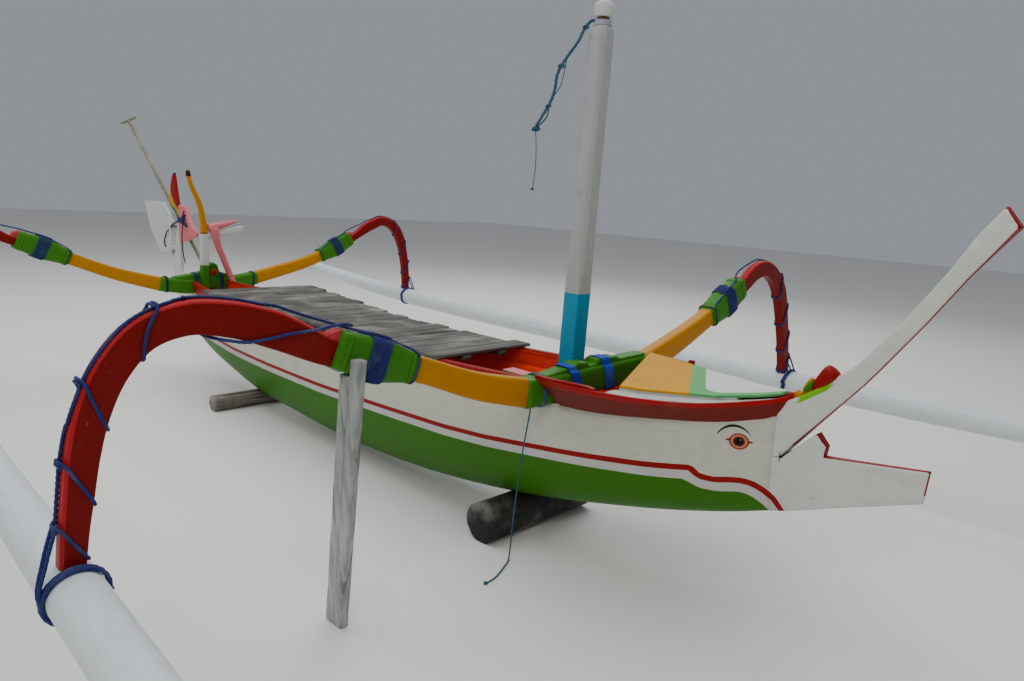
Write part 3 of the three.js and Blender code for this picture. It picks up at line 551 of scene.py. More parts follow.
def striped(tree, topsides):
    """The topsides' colour over a red line, with a white band under it and green below."""
    line = field(tree, "line")
    paint = over(tree, topsides, SHEER_RED, between(tree, line, 0.0118, 0.0108))
    paint = over(tree, paint, BAND_WHITE, between(tree, line, -0.0108, -0.0118))
    return over(tree, paint, BOTTOM_GREEN, between(tree, line, -0.0455, -0.0470))


print("the line runs over", len(SHEER_LINE), "points")

# %% [markdown]
# Each side of the bow carries an eye, an old ornament on such boats. It is made of discs, each a
# little smaller and in another colour, with a pointed corner to each side and a brow arched over
# it. A picture could be laid on instead, but distances from a point stay sharp at any size.

# %% The hull's colours and its eye
def spot(tree, where, x, z, wide=1.0, tall=1.0):
    """Distance from a point of the side view, in metres, whichever side of the boat it is on."""
    moved = stretched(tree, where, (1 / wide, 0, 1 / tall), (-(x + MIDDLE) / wide, 0, -z / tall))
    return wire(tree, "ShaderNodeVectorMath", {0: moved}, operation="LENGTH").outputs["Value"]


EYE_AT = (0.780, 0.742)
LID_RED = tone(140, 22, 14)
EYE_DISCS = ((0.0305, LID_RED), (0.0258, tone(196, 124, 88)), (0.0190, tone(100, 52, 32)),
             (0.0145, tone(14, 12, 12)))


def hull_pattern(tree, where):
    """Cream above, the painted line, green below, orange-red inside, and the eye. The brow lies
    inside one disc, outside a second and above a level."""
    paint = striped(tree, tone(196, 197, 182))
    brow_out = between(tree, spot(tree, where, 0.764, 0.716, 0.72, 1.0), 0.087, 0.0855)
    brow_in = between(tree, spot(tree, where, 0.766, 0.706, 0.76, 1.0), 0.0862, 0.0875)
    brow = sums(tree, "MULTIPLY", brow_out, brow_in)
    brow = sums(tree, "MULTIPLY", brow, between(tree, height_of(tree, where), 0.757, 0.762))
    paint = over(tree, paint, tone(22, 20, 18), brow)
    corners = spot(tree, where, 0.780, 0.744, 1.45, 0.22)
    paint = over(tree, paint, LID_RED, between(tree, corners, 0.030, 0.029))
    eye = spot(tree, where, *EYE_AT)
    for reach, colour in EYE_DISCS:
        paint = over(tree, paint, colour, between(tree, eye, reach, reach - 0.0010))
    glint = spot(tree, where, 0.784, 0.748)
    paint = over(tree, paint, tone(120, 120, 124), between(tree, glint, 0.0030, 0.0022))
    return over(tree, paint, tone(246, 64, 10), between(tree, field(tree, "inside"), 0.45, 0.55))


CREAM = enamelled("cream hull enamel", hull_pattern, wear=0.4, grime=0.25)
print("the eye has", len(EYE_DISCS), "discs and a glint")

# %% [markdown]
# The other painted parts carry simple patterns of their own. A field says where each colour starts,
# and it is worked out with the piece, where the piece's own outline is known.

# %% The patterned paints
SAWN_RED = tone(138, 14, 20)


def prow_pattern(tree, where):
    """Cream boards whose sawn edge is red along the jaw, the tooth and the horn's underside."""
    paint = striped(tree, tone(204, 207, 198))
    strip = sums(tree, "MULTIPLY", between(tree, field(tree, "rim"), 0.020, 0.018), field(tree, "crown"))
    paint = over(tree, paint, tone(112, 176, 12), strip)
    paint = over(tree, paint, SAWN_RED, between(tree, field(tree, "end"), 0.4, 0.6))
    edge = between(tree, field(tree, "rim"), 0.0026, 0.0016)
    jaw = between(tree, field(tree, "jaw"), 0.4, 0.6)
    paint = over(tree, paint, SAWN_RED, sums(tree, "MULTIPLY", edge, jaw))
    for wide, tall in ((0.9, 0.07), (0.09, 0.9)):
        ray = spot(tree, where, 0.902, 0.706, wide, tall)
        paint = over(tree, paint, tone(30, 26, 24), between(tree, ray, 0.022, 0.018))
    return paint


def crook_pattern(tree, where):
    """Red, with a painted highlight: a paler red along the back, where light catches the crook."""
    back = between(tree, field(tree, "lit_back"), 0.45, 0.55)
    return over(tree, tone(120, 8, 5), tone(168, 30, 34), back)


def leaf_pattern(tree, where):
    """Green at the foot, gold above it, then red, with a dark tip."""
    paint = over(tree, BOAT_RED, tone(30, 24, 22), between(tree, field(tree, "tip"), -0.004, 0.0))
    paint = over(tree, paint, tone(200, 140, 10), between(tree, field(tree, "upper"), 0.002, -0.002))
    return over(tree, paint, tone(60, 124, 26), between(tree, field(tree, "lower"), 0.002, -0.002))


def washboard_pattern(tree, where):
    """Red along the upper edge; below it a darker brown-red, painted shade on the flared outer face, which
    faces down.
    """
    return over(tree, tone(112, 30, 26), tone(158, 8, 14), between(tree, field(tree, "up"), 0.70, 0.73))


def strake_pattern(tree, where):
    """Red outside with a green panel in a cream line, and orange-red on the inner side."""
    inner = between(tree, field(tree, "within"), 0.4, 0.6)
    lined = over(tree, BOAT_RED, tone(200, 194, 170), between(tree, field(tree, "panel"), 0.0, 0.001))
    filled = over(tree, tone(48, 132, 62), tone(226, 58, 14), inner)
    here = sums(tree, "MAXIMUM", between(tree, field(tree, "panel"), 0.0065, 0.0075), inner)
    return over(tree, lined, filled, here)


def foredeck_pattern(tree, where):
    """Gold aft, green forward, and a chalk-white panel with a rounded corner."""
    forward = between(tree, field(tree, "ahead"), 0.0, 0.001)
    paint = over(tree, tone(206, 146, 22), tone(92, 170, 104), forward)
    return over(tree, paint, tone(208, 214, 208), between(tree, field(tree, "panel"), 0.0, 0.001))


print("patterns:", len((prow_pattern, crook_pattern, leaf_pattern, washboard_pattern, strake_pattern,
                        foredeck_pattern)))

# %% Level bands, and the paints themselves
def by_height(top_colour, *levels):
    """A pattern of level bands. Each level is a height and the colour under it, highest first."""
    def pattern(tree, where):
        z = height_of(tree, where)
        paint = top_colour
        for level, colour in levels:
            paint = over(tree, paint, colour, between(tree, z, level + 0.0005, level - 0.0005))
        return paint
    return pattern


CROOK_RED = enamelled("crook enamel", crook_pattern)
PROW_PAINT = enamelled("cream prow enamel", prow_pattern, wear=0.4, grime=0.2)
LEAF_PAINT = enamelled("leaf enamel", leaf_pattern)
CRUTCH_PAINT = enamelled("crutch enamel", by_height(CHALK, (0.888, LEAF_GREEN)), turn=UPRIGHT)
HORN_PAINT = enamelled("horn enamel", by_height(tone(64, 22, 16), (1.545, GOLD), (1.134, BOAT_RED)),
                       turn=UPRIGHT)
# The washboards are red; the brown-red over their outer faces is painted shade.
SHADED_WASHBOARD_RED = enamelled("washboard red with painted shade", washboard_pattern)
STRAKE_PAINT = enamelled("strake enamel", strake_pattern)
DECK_PAINT = enamelled("foredeck enamel", foredeck_pattern, coat=0.0, gloss=0.04, turn=ACROSS)
MAST_PAINT = enamelled("mast enamel", by_height(tone(166, 171, 167), (1.148, tone(28, 140, 174))), grime=0.3,
                       turn=UPRIGHT)
print(len(bpy.data.materials), "materials with the patterned paints")

# %% [markdown]
# The two long cords come first. One is tied to the front boom and trails on the ground, the other
# hangs from the mast's neck. A cord here is a lobed ring of strands carried along its route and
# turned as it goes, which is what gives a laid rope its slant. A curve with a round bevel would be
# quicker, but smooth as wire.

# %% Cords
STRANDS = 3
LAY = 9   # radii along the rope in which a strand goes once round


def laid(route, radius, around=10, away=(0, 0, 1)):
    """Rings round a route. Each ring's radius rises and falls once per strand, and the whole ring
    turns once in every lay length. away is a direction, or one per point, that the route never runs
    along."""
    path = np.asarray(route, float)
    along = unit(np.gradient(path, axis=0))
    side = unit(np.cross(along, away))
    up = np.cross(side, along)
    turn = 2 * np.pi * distances(path)[:, None] / (LAY * radius)
    angle = np.linspace(0, 2 * np.pi, around, endpoint=False)
    swell = radius * (0.86 + 0.14 * np.cos(STRANDS * (angle - turn)))
    return skin(carried(path, side, up, swell[..., None] * circle(around)))


def length_of(path):
    """The sum of the lengths between the points."""
    return float(np.linalg.norm(np.diff(np.asarray(path, float), axis=0), axis=1).sum())


def knot(name, at, size, body, paint=TEAL_ROPE):
    """A tight overhand knot, as a tube along a trefoil: (sin t + 2 sin 2t, cos t - 2 cos 2t, -sin 3t).
    The last ring joins the first, so its points are counted round in both directions."""
    t = np.linspace(0, 2 * np.pi, 90)[:-1]
    loop = np.stack([np.sin(t) + 2 * np.sin(2 * t), np.cos(t) - 2 * np.cos(2 * t), -np.sin(3 * t)], -1)
    path = np.asarray(at) + size * loop / 3
    along = unit(np.roll(path, -1, axis=0) - np.roll(path, 1, axis=0))
    side = unit(np.cross(along, (0.3, 0.2, 1)))
    rings = carried(path, side, np.cross(side, along), 0.42 * size * circle(10))
    n, m = rings.shape[:2]
    i, k = np.arange(n)[:, None] * m, np.arange(m)
    after, ahead = (k + 1) % m, (i + m) % (n * m)
    quads = np.stack([i + k, i + after, ahead + after, ahead + k], -1).reshape(-1, 4)
    return piece(name, rings.reshape(-1, 3), quads, (), body, paint, finish="cord")


print("a rope of 7 mm turns once in", LAY * 3.5, "mm")

# %% The two routes
ANCHOR = np.array([[-30, -318, 721.7], [-32, -318, 690], [-38, -318, 640], [-52, -316, 560],
    [-66, -314, 460], [-78, -312, 360], [-88, -310, 260], [-96, -308, 170], [-102, -305, 90],
    [-104, -306, 40], [-98, -316, 14], [-84, -336, 5], [-66, -372, 5], [-44, -418, 5], [-22, -470, 5],
    [-10, -545, 5]]) / 1000
HALYARD = np.array([
    [-86.8, -17.6, 2252], [-100, -31, 2251], [-117, -48, 2224], [-135, -64, 2172], [-166, -93, 2106],
    [-181, -108, 2070], [-191, -118, 2031], [-194, -121, 1984], [-201, -127, 1944], [-211, -137, 1911],
    [-230, -155, 1862], [-244, -168, 1821], [-241, -165, 1780], [-238, -163, 1734], [-237, -162, 1652],
    [-242, -167, 1570]]) / 1000
halyard_line = through(HALYARD, 400)
KNOT_AT = 1.821
thick = halyard_line[halyard_line[:, 2] > KNOT_AT]
thin = halyard_line[halyard_line[:, 2] < KNOT_AT - 0.012]
anchor_line = through(ANCHOR, 320)
for name, path, wide, away, body, node in (
        ("anchor_cord_laid", anchor_line, 0.007, (1, 0, 0), "canoe", "anchor_cord"),
        ("halyard_laid", thick, 0.014, (0.7, -0.7, 0), "mast", "halyard"),
        ("halyard_tail", thin, 0.004, (0.7, -0.7, 0), "mast", "halyard")):
    points, quads, tris = laid(path, wide / 2, away=away, around=9)
    cord = piece(name, points, quads, tris, body, TEAL_ROPE, [node], "cord")
    in_frame = path + (MIDDLE, 0, 0)
    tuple(in_frame[0])
    length_of(path)
    print(name, round(length_of(path), 3), "m")
knot("halyard_knot", thick[-1] - (0, 0, 0.004), 0.014, "mast")
knot("halyard_end_knot", thin[-1] + (0, 0, 0.004), 0.006, "mast")
knot("anchor_end_knot", anchor_line[-1] + (-0.001, 0.008, 0.004), 0.007, "canoe")
knot("anchor_knot", (-0.030, -0.318, 0.716), 0.012, "canoe")

# %% [markdown]
# The hull is one dug-out shell. Its outside is given by ten or so stations, each with the keel's
# height, the rail's height and the half beam, and by one half section that all of them share.
# The inside is the same shell drawn in by the planking, and it rises to the rail at both ends.
# A subdivided box would get there too, but stations are how a boat's lines are always written.

# %% The hull's lines
STATIONS = np.array([
    [-4180, 440, 728, 26], [-3950, 340, 695, 92], [-3600, 240, 670, 165], [-3100, 145, 668, 225],
    [-2800, 96, 668, 246], [-2400, 72, 670, 262], [-1600, 50, 672, 280], [-800, 100, 685, 285],
    [-200, 193, 714, 280], [250, 298, 742, 258], [600, 393, 788, 198], [780, 450, 822, 118],
    [880, 488, 850, 62]]) / 1000
SECTION = np.array([[0.0, 0], [0.3, 0.03], [0.56, 0.12], [0.77, 0.27], [0.9, 0.47], [0.97, 0.72], [1, 1]])
PLANKING = 0.022
HULL_LINE = through(STATIONS, 2000, dims=1)


def hull_at(x):
    """Keel height, rail height and half beam at any x: the stations' smooth line, read by x."""
    return [np.interp(x, HULL_LINE[:, 0], HULL_LINE[:, k]) for k in (1, 2, 3)]


def eased(t):
    """Zero to one with a flat start and end: 3 t squared less 2 t cubed."""
    t = np.clip(t, 0, 1)
    return t * t * (3 - 2 * t)


print("half beam amidships:", round(float(hull_at(-1.6)[2]), 3), "m")

# %% The hull's shell
HOLLOW = (-3.93, 0.70)   # where the inside starts to sink and has come up again
x = np.linspace(-4.18, 0.88, 240)
keel, rail, half = (c[:, None] for c in hull_at(x))
girth = through(SECTION, 26, dims=2)
w, h = girth[:, 0], girth[:, 1]
open_share = (eased((x - HOLLOW[0]) / 0.07) * (1 - eased((x - HOLLOW[1]) / 0.06)))[:, None]
inner_keel = keel + 1.4 * PLANKING
outer_z = keel + (rail - keel) * h
inner_z = rail + (inner_keel + (rail - inner_keel) * h - rail) * open_share
inner_y = (half - PLANKING * np.minimum(1, half / 0.1)) * w
port = np.stack([half * w, outer_z], -1)[:, ::-1]
starboard = np.stack([-half * w, outer_z], -1)[:, 1:]
inner_starboard = np.stack([-inner_y, inner_z], -1)[:, ::-1]
inner_port = np.stack([inner_y, inner_z], -1)[:, 1:]
section = np.concatenate([port, starboard, inner_starboard, inner_port], 1)
rings = np.concatenate([np.broadcast_to(x[:, None, None], section.shape[:2] + (1,)), section], -1)
hull_points, hull_quads, hull_tris = skin(rings)
inside_share = np.zeros(section.shape[:2])
inside_share[:, port.shape[1] + starboard.shape[1]:] = 1
inside_share = np.r_[inside_share.ravel(), 0, 0]
hull = piece("hull_shell", hull_points, hull_quads, hull_tris, paint=CREAM, nodes=["hull"],
             fields={"line": line_field(hull_points), "inside": inside_share})
print("hull:", len(hull.data.polygons), "faces")

# %% [markdown]
# Every arm is three timbers end to end: a yellow spar on the boom, a green sleeve that is lashed
# over the joint, and a red crook of grown wood that bends down to its float. All three follow one
# line, and the line is cut by distance from the boat's middle.

# %% The arms' and booms' lines, as rows of y, z and depth
REAR_X = -3.78
ARMS = {
    "front_starboard": (-1, 0.0, [
        [400, 782, 118], [660, 846, 104], [930, 941, 92], [1180, 1018, 108], [1310, 1065, 118],
        [1460, 1122, 110], [1600, 1164, 98], [1710, 1174, 90], [1820, 1140, 88], [1893, 1062, 86],
        [1940, 960, 82], [1966, 850, 76], [1980, 750, 70], [1992, 660, 64], [2000, 575, 60]]),
    "front_port": (1, 0.0, [
        [400, 797, 118], [660, 876, 108], [930, 974, 92], [1150, 1070, 104], [1310, 1156, 108],
        [1450, 1218, 92], [1560, 1228, 84], [1680, 1182, 88], [1780, 1088, 90], [1855, 950, 86],
        [1910, 820, 80], [1950, 700, 74], [1985, 575, 68]]),
    "rear_starboard": (-1, REAR_X, [
        [370, 745, 104], [670, 829, 88], [920, 926, 84], [1140, 1021, 90], [1357, 1106, 86],
        [1500, 1168, 84], [1620, 1196, 82], [1740, 1160, 82], [1825, 1060, 78], [1880, 920, 72],
        [1905, 780, 68], [1920, 620, 62]]),
    "rear_port": (1, REAR_X, [
        [370, 768, 100], [600, 825, 96], [860, 897, 88], [1145, 1025, 92], [1330, 1130, 88],
        [1490, 1210, 84], [1625, 1254, 82], [1755, 1198, 82], [1830, 1090, 78], [1885, 920, 72],
        [1908, 780, 68], [1920, 620, 62]]),
}
CENTRES = {
    "front": (0.0, 0.41, [[-410, 781, 118], [-200, 782, 118], [0, 790, 118], [200, 793, 118],
        [410, 797, 118]]),
    "rear": (REAR_X, 0.38, [[-380, 747, 104], [-180, 722, 110], [0, 722, 112], [180, 735, 110],
        [380, 770, 100]]),
}


def stretch(rows, side, x, start, end, count):
    """The part of a timber's line between two y: its path, its own up direction and its depth."""
    fine = through(np.asarray(rows) / 1000, 800, dims=2)
    s = np.r_[0, np.cumsum(np.linalg.norm(np.diff(fine[:, :2], axis=0), axis=1))]
    t = np.linspace(np.interp(start, fine[:, 0], s), np.interp(end, fine[:, 0], s), count)
    y, z, depth = (np.interp(t, s, column) for column in fine.T)
    path = np.stack([np.full(count, x), side * y, z], -1)
    up = side * np.cross((1, 0, 0), unit(np.gradient(path, axis=0)))
    return path, up, depth


def timber_bar(rows, side, x, start, end, width):
    """A timber of one width, as deep as its line says, with a nearly square section."""
    path, up, depth = stretch(rows, side, x, start, end, 70)
    shape = squared(28, 0.36) * np.stack([np.full(70, width / 2), depth / 2], -1)[:, None]
    return skin(carried(path, (1, 0, 0), up, shape))


for place, (x_boom, reach, rows) in CENTRES.items():
    piece(f"boom_{place}_middle", *timber_bar(rows, 1, x_boom, -reach, reach, 0.096), paint=GREEN,
          nodes=[f"boom_{place}_centre"], finish="green_paint")
print(len(PIECES), "pieces with the two booms")

# %% [markdown]
# A crook is a natural bend of timber, squared with an adze and left slim. It could be bent with a
# curve modifier. Carrying its section along the measured line keeps every depth where it was read.

# %% The grown crooks and their wedges
CROOK_HALF = 0.025
CROOK_FROM = 1.14
BACK_ARRIS, BELLY_ARRIS = 0.008, 0.004
# Points on the back take the crook's painted highlight, a paler red.
LIT_BACK_RING = np.r_[np.ones(7), np.zeros(15), np.ones(2)]   # which points of a ring lie on the back


def grown_crook(place, side, x_boom, rows):
    """Eight corners: a slab whose back is drawn down by up to 30 mm inside the sleeve."""
    path, up, depth = stretch(rows, side, x_boom, CROOK_FROM, rows[-1][0] / 1000, 120)
    wide, deep = CROOK_HALF, depth / 2
    outer, inner = BACK_ARRIS, BELLY_ARRIS
    top = deep - 0.030 * (1 - eased((np.abs(path[:, 1]) - 1.27) / 0.22))
    shape = corners_of(
        (-wide + outer, top), (wide - outer, top), (wide, top - outer), (wide, inner - deep),
        (wide - inner, -deep), (inner - wide, -deep), (-wide, inner - deep), (-wide, top - outer))
    points, quads, tris = dressed(path, (1, 0, 0), up, shape, 0.16)
    piece(f"grown_crook_{place}", points, quads, tris, paint=CROOK_RED, nodes=[f"crook_{place}"],
          finish="red_paint", fields={"lit_back": np.r_[np.tile(LIT_BACK_RING, 120), 0, 0]})


def sleeve_wedge(place, side, x_boom, rows):
    """A short wedge, driven between the sleeve's end and the crook's back."""
    path, up, depth = stretch(rows, side, x_boom, 1.262, 1.300, 12)
    low = depth[:, None] / 2 - 0.036
    high = np.interp(np.arange(12), [0, 3, 11], [0.062, 0.060, 0.040])[:, None]
    across = np.tile([-0.022, 0.022, 0.022, -0.022], (12, 1))
    shape = np.stack([across, np.hstack([low, low, high, high])], -1)
    piece(f"sleeve_wedge_{place}", *dressed(path, (1, 0, 0), up, shape, 0.12), paint=WEDGE_RED,
          finish="red_paint")


print("crooks are", 2 * CROOK_HALF, "m thick")

# %% [markdown]
# The sleeve is a bundle of rounded staves bound over the joint, thickest in the middle, with a bead
# and a groove near each end. It is one skin: sixteen shallow waves round it give the staves.

# %% The ribbed sleeves
SLEEVE = (0.965, 1.27)
SLEEVE_DEPTHS = np.array([98, 118, 140, 142, 128, 122]) / 1000
STAVES = 16


def hump(share, middle, width):
    """A bell curve, 1 at its middle: e to the minus (distance over width) squared."""
    return np.exp(-((share - middle) / width)**2)


def ribbed_sleeve(place, side, x_boom, rows):
    """Half the width and half the depth, each swollen by the staves' |cos| and by the beads."""
    path, up = stretch(rows, side, x_boom, *SLEEVE, 90)[:2]
    share = np.linspace(0, 1, 90)
    depth = np.interp(share * 5, np.arange(6), SLEEVE_DEPTHS)
    bead = 0.0030 * (hump(share, 0.09, 0.012) + hump(share, 0.90, 0.012))
    groove = 0.004 * hump(share, 0.115, 0.010) + 0.004 * hump(share, 0.875, 0.010)
    drawn_in = 0.97 - 0.05 * np.exp(-np.minimum(share, 1 - share) / 0.006)
    turn = np.linspace(0, 2 * np.pi, 112, endpoint=False)
    staves = squared(112, 0.42) * (1 + 0.026 * np.abs(np.cos(STAVES / 2 * turn))**0.35)[:, None]
    sizes = np.stack([0.049 * drawn_in + bead - groove, depth / 2 * drawn_in + bead - groove], -1)
    piece(f"ribbed_sleeve_{place}", *skin(carried(path, (1, 0, 0), up, staves * sizes[:, None])), paint=GREEN,
          nodes=[f"sleeve_{place}"], finish="green_paint")


for place, (side, x_boom, rows) in ARMS.items():
    piece(f"spar_{place}", *timber_bar(rows, side, x_boom, rows[0][0] / 1000, 1.1, 0.070), paint=YELLOW,
          nodes=[f"boom_{place}"], finish="yellow_paint")
    grown_crook(place, side, x_boom, rows)
    sleeve_wedge(place, side, x_boom, rows)
    ribbed_sleeve(place, side, x_boom, rows)
print(len(PIECES), "pieces with the four arms")

# %% [markdown]
# The floats are long bamboo-like spars, thickest under the booms, with a faint ring at each joint
# of the cane. The ropes that bind the crooks down to them come with the rest of the lashings.

# %% Floats
FLOAT = np.array([
    [-5350, 1890, 668, 44], [-5000, 1896, 632, 58], [-3780, 1920, 552, 70], [-1900, 1960, 518, 70],
    [0, 2000, 510, 70], [1300, 2025, 518, 62], [2000, 2036, 545, 46]]) / 1000
FLOAT_ENDS = (-5.35, 2.0)
FLOAT_ROUND = 0.02
CANE_JOINT = 0.86
for place, side in (("starboard", -1), ("port", 1)):
    line = through(FLOAT, 220)
    line[:, 3] = np.interp(line[:, 0], FLOAT[:, 0], FLOAT[:, 3])
    knuckle = np.exp(-((line[:, 0] + 5.1) % CANE_JOINT - CANE_JOINT / 2)**2 / 0.00012)
    end_gap = np.minimum(line[:, 0] - FLOAT_ENDS[0], FLOAT_ENDS[1] - line[:, 0])
    rounding = np.sqrt(np.clip(1 - (1 - end_gap / FLOAT_ROUND)**2, 0.2, 1))
    radius = line[:, 3] * (0.985 + 0.015 * knuckle) * np.where(end_gap < FLOAT_ROUND, rounding, 1)
    section = circle(40) * radius[:, None, None]
    piece(f"float_spar_{place}", *skin(carried(line[:, :3] * (1, side, 1), (0, 1, 0), (0, 0, 1), section)),
          paint=FLOAT_WHITE, nodes=[f"float_{place}"], finish="float_paint")
print(len(PIECES), "pieces with the floats")

# %% [markdown]
# Sawn boards make up the prow, the stern post, the rudder, the knee and the foredeck. Each is an
# outline with a thickness. Both faces are triangulated over a grid of points, and the thickness
# falls off round the rim like a quarter circle, so that the edge catches the light. A bevel modifier
# would do it on a simple outline, but not where the board also narrows or bends.

# %% Inside an outline, and how far from its rim
from mathutils.geometry import delaunay_2d_cdt


def rim_distance(points, loop):
    """How far each point lies from the nearest side of the outline, over all sides at once."""
    a, b = loop, np.roll(loop, -1, axis=0)
    along = b - a
    share = np.einsum("pkj,kj->pk", points[:, None] - a, along) / np.maximum((along**2).sum(1), 1e-12)
    nearest = a + np.clip(share, 0, 1)[..., None] * along
    return np.linalg.norm(points[:, None] - nearest, axis=-1).min(1)


def inside_of(points, loop):
    """Odd number of sides crossed by a line to the right."""
    a, b = loop, np.roll(loop, -1, axis=0)
    u, v = points[:, :1], points[:, 1:]
    spans = (a[:, 1] > v) != (b[:, 1] > v)
    rise = np.where(np.abs(b[:, 1] - a[:, 1]) < 1e-12, 1e-12, b[:, 1] - a[:, 1])
    return (spans & (u < a[:, 0] + (v - a[:, 1]) * (b[:, 0] - a[:, 0]) / rise)).sum(1) % 2 == 1


def open_edges(tris):
    """The edges, in their own direction, that only one triangle has."""
    directed = np.concatenate([tris[:, [0, 1]], tris[:, [1, 2]], tris[:, [2, 0]]])
    found = np.unique(np.sort(directed, 1), axis=0, return_inverse=True, return_counts=True)
    which, count = found[1:]
    return directed[count[which.ravel()] == 1]


print("a point inside a square:", inside_of(np.array([[0.1, 0.2]]), rectangle(1, 1)).tolist())

# %% A board from its outline
def stepped(corners, cell):
    """Each side of the outline in equal steps, none longer than a cell."""
    after = np.roll(corners, -1, axis=0)
    steps = np.maximum(1, np.ceil(np.linalg.norm(after - corners, axis=1) / cell)).astype(int)
    return np.concatenate([c + (d - c) * np.arange(n)[:, None] / n for c, d, n in zip(corners, after, steps)])


def seeded(loop, bevel, cell):
    """The outline, two rows of points inside its rim and a grid over the rest."""
    low, high = loop.min(0), loop.max(0)
    grid = np.stack(np.meshgrid(np.arange(low[0], high[0], cell), np.arange(low[1], high[1], cell)), -1)
    grid = grid.reshape(-1, 2)
    grid = grid[inside_of(grid, loop)]
    grid = grid[rim_distance(grid, loop) > 1.6 * bevel]
    normal = np.roll(loop, -1, axis=0) - np.roll(loop, 1, axis=0)
    normal = unit(np.stack([-normal[:, 1], normal[:, 0]], -1))
    rows = (0.3 * bevel, bevel)
    inset = np.concatenate([loop + sign * reach * normal for sign in (1, -1) for reach in rows])
    wanted = np.tile(np.repeat(rows, len(loop)), 2)
    inset = inset[inside_of(inset, loop) & (rim_distance(inset, loop) > 0.93 * wanted)]
    return np.concatenate([loop, inset, grid])


def board(outline, half, place, bevel=0.006, cell=0.03, joint=None):
    """half(u, v) is half the thickness and place(u, v, w) gives the points in space. Half the
    thickness at distance d from the rim is half - bevel + bevel sqrt(1 - (1 - d / bevel) squared).
    A side at or behind the joint stays square, because another piece starts there: that side is
    moved a metre off before the distances are taken."""
    loop = stepped(np.asarray(outline, float) / 1000, cell)
    seeds = [Vector(p) for p in seeded(loop, bevel, cell).tolist()]
    made = delaunay_2d_cdt(seeds, [], [list(range(len(loop)))], 1, 1e-6)
    flat = np.array([v[:] for v in made[0]])
    tris = np.array([f for f in made[2]], int)
    d = rim_distance(flat, loop)
    if joint is not None:
        moved_off = np.where(loop[:, :1] > joint, loop, loop - (1, 0))
        d = np.where(flat[:, 0] < joint + 0.03, rim_distance(flat, moved_off), d)
    t = np.clip(d / bevel, 0, 1)
    thick = half(flat[:, 0], flat[:, 1])
    w = thick - bevel * (1 - np.sqrt(np.clip(1 - (1 - t)**2, 0, 1))) * np.minimum(1, thick / bevel) * 0.9
    n = len(flat)
    points = np.concatenate([place(flat[:, 0], flat[:, 1], w), place(flat[:, 0], flat[:, 1], -w)])
    a, b, c = flat[tris[:, 0]], flat[tris[:, 1]], flat[tris[:, 2]]
    clockwise = ((b - a)[:, 0] * (c - a)[:, 1] - (b - a)[:, 1] * (c - a)[:, 0]) < 0
    tris[clockwise] = tris[clockwise][:, ::-1]
    rim = open_edges(tris)
    walls = np.stack([rim[:, 1], rim[:, 0], rim[:, 0] + n, rim[:, 1] + n], -1)
    return points, walls, np.concatenate([tris, tris[:, ::-1] + n]), {"rim": np.tile(d, 2)}


def upright_board(name, outline, plan, paint, nodes=(), finish="hull_paint", body="canoe", bevel=0.006,
                  cell=0.03, y=0.0, extra=None, joint=None, narrowed=None):
    """A board that stands in the boat's long plane. plan gives half its thickness along x, and
    narrowed(x, z) the share of it that is left; extra gives more fields."""
    plan = np.asarray(plan, float) / 1000

    def half(u, v):
        return np.interp(u, plan[:, 0], plan[:, 1]) * (narrowed(u, v) if narrowed else 1)

    points, walls, tris, fields = board(
        outline, half, lambda u, v, w: np.stack([u, y + w, v], -1), bevel, cell, joint)
    fields.update(extra(points) if extra else {})
    return piece(name, points, walls, tris, body, paint, nodes, finish, fields=fields)


print("a square board's side in steps:", len(stepped(rectangle(0.5, 0.5), 0.03)) // 4)

# %% [markdown]
# The prow gapes like a jaw: a keel board with a tooth below, and above it a tall horn that curves
# forward and up. All of it is one board, as broad as the hull where they meet and thin ahead.

# %% The prow
PROW = [[880.3, 488], [1351, 676], [1357, 783], [1039, 739], [1043, 776], [1007, 814], [900, 697],
        [905, 716], [1127, 1005], [1175, 1075], [1279, 1235], [1367, 1381], [1459, 1516], [1474, 1538],
        [1432, 1593], [1374, 1511], [1300, 1373], [1208, 1223], [1100, 1074], [1010, 985], [925, 921],
        [880.3, 905]]
PROW_PLAN = [[879, 62], [930, 42], [1000, 25], [1090, 15], [1350, 11], [1410, 16], [1480, 36]]


def like_hull(u, v):
    """At the joint the prow has the hull's own section; 180 mm ahead it is a plain board."""
    share = np.clip((v - 0.488) / 0.362, 0, 1)
    ahead = eased((u - 0.880) / 0.18)
    return np.interp(share, SECTION[:, 1], SECTION[:, 0]) * (1 - ahead) + ahead


def prow_fields(p):
    """jaw is 1 on the jaw's top and end, the tooth and the underside of the horn; end on the horn's
    sawn end, and crown where the green strip runs behind the horn."""
    x, z = p[:, 0], p[:, 2]
    under_horn = z < 1.075 + (x - 1.131) * 1.5
    over_horn = z > 0.800 + (x - 0.905) * 1.387
    over_keel = z > 0.496 + (x - 0.880) * 0.399 + 0.014
    return {"line": line_field(p), "jaw": (under_horn & over_keel & (x > 0.93)).astype(float),
            "end": (0.795 * x + 0.607 * z > 2.1004).astype(float),
            "crown": (over_horn & (x > 0.930) & (x < 1.032)).astype(float)}


upright_board("prow_board", PROW, PROW_PLAN, PROW_PAINT, ["prow"], "prow_paint", extra=prow_fields,
              joint=0.8805, narrowed=like_hull, cell=0.02)
print(len(PIECES), "pieces with the prow")

# %% [markdown]
# At the stern a white post rises from the hull and ends in a leaf. The rudder hangs behind it on
# two pins, and its blade is drawn up. The leaf's bands of colour follow two slanting lines.

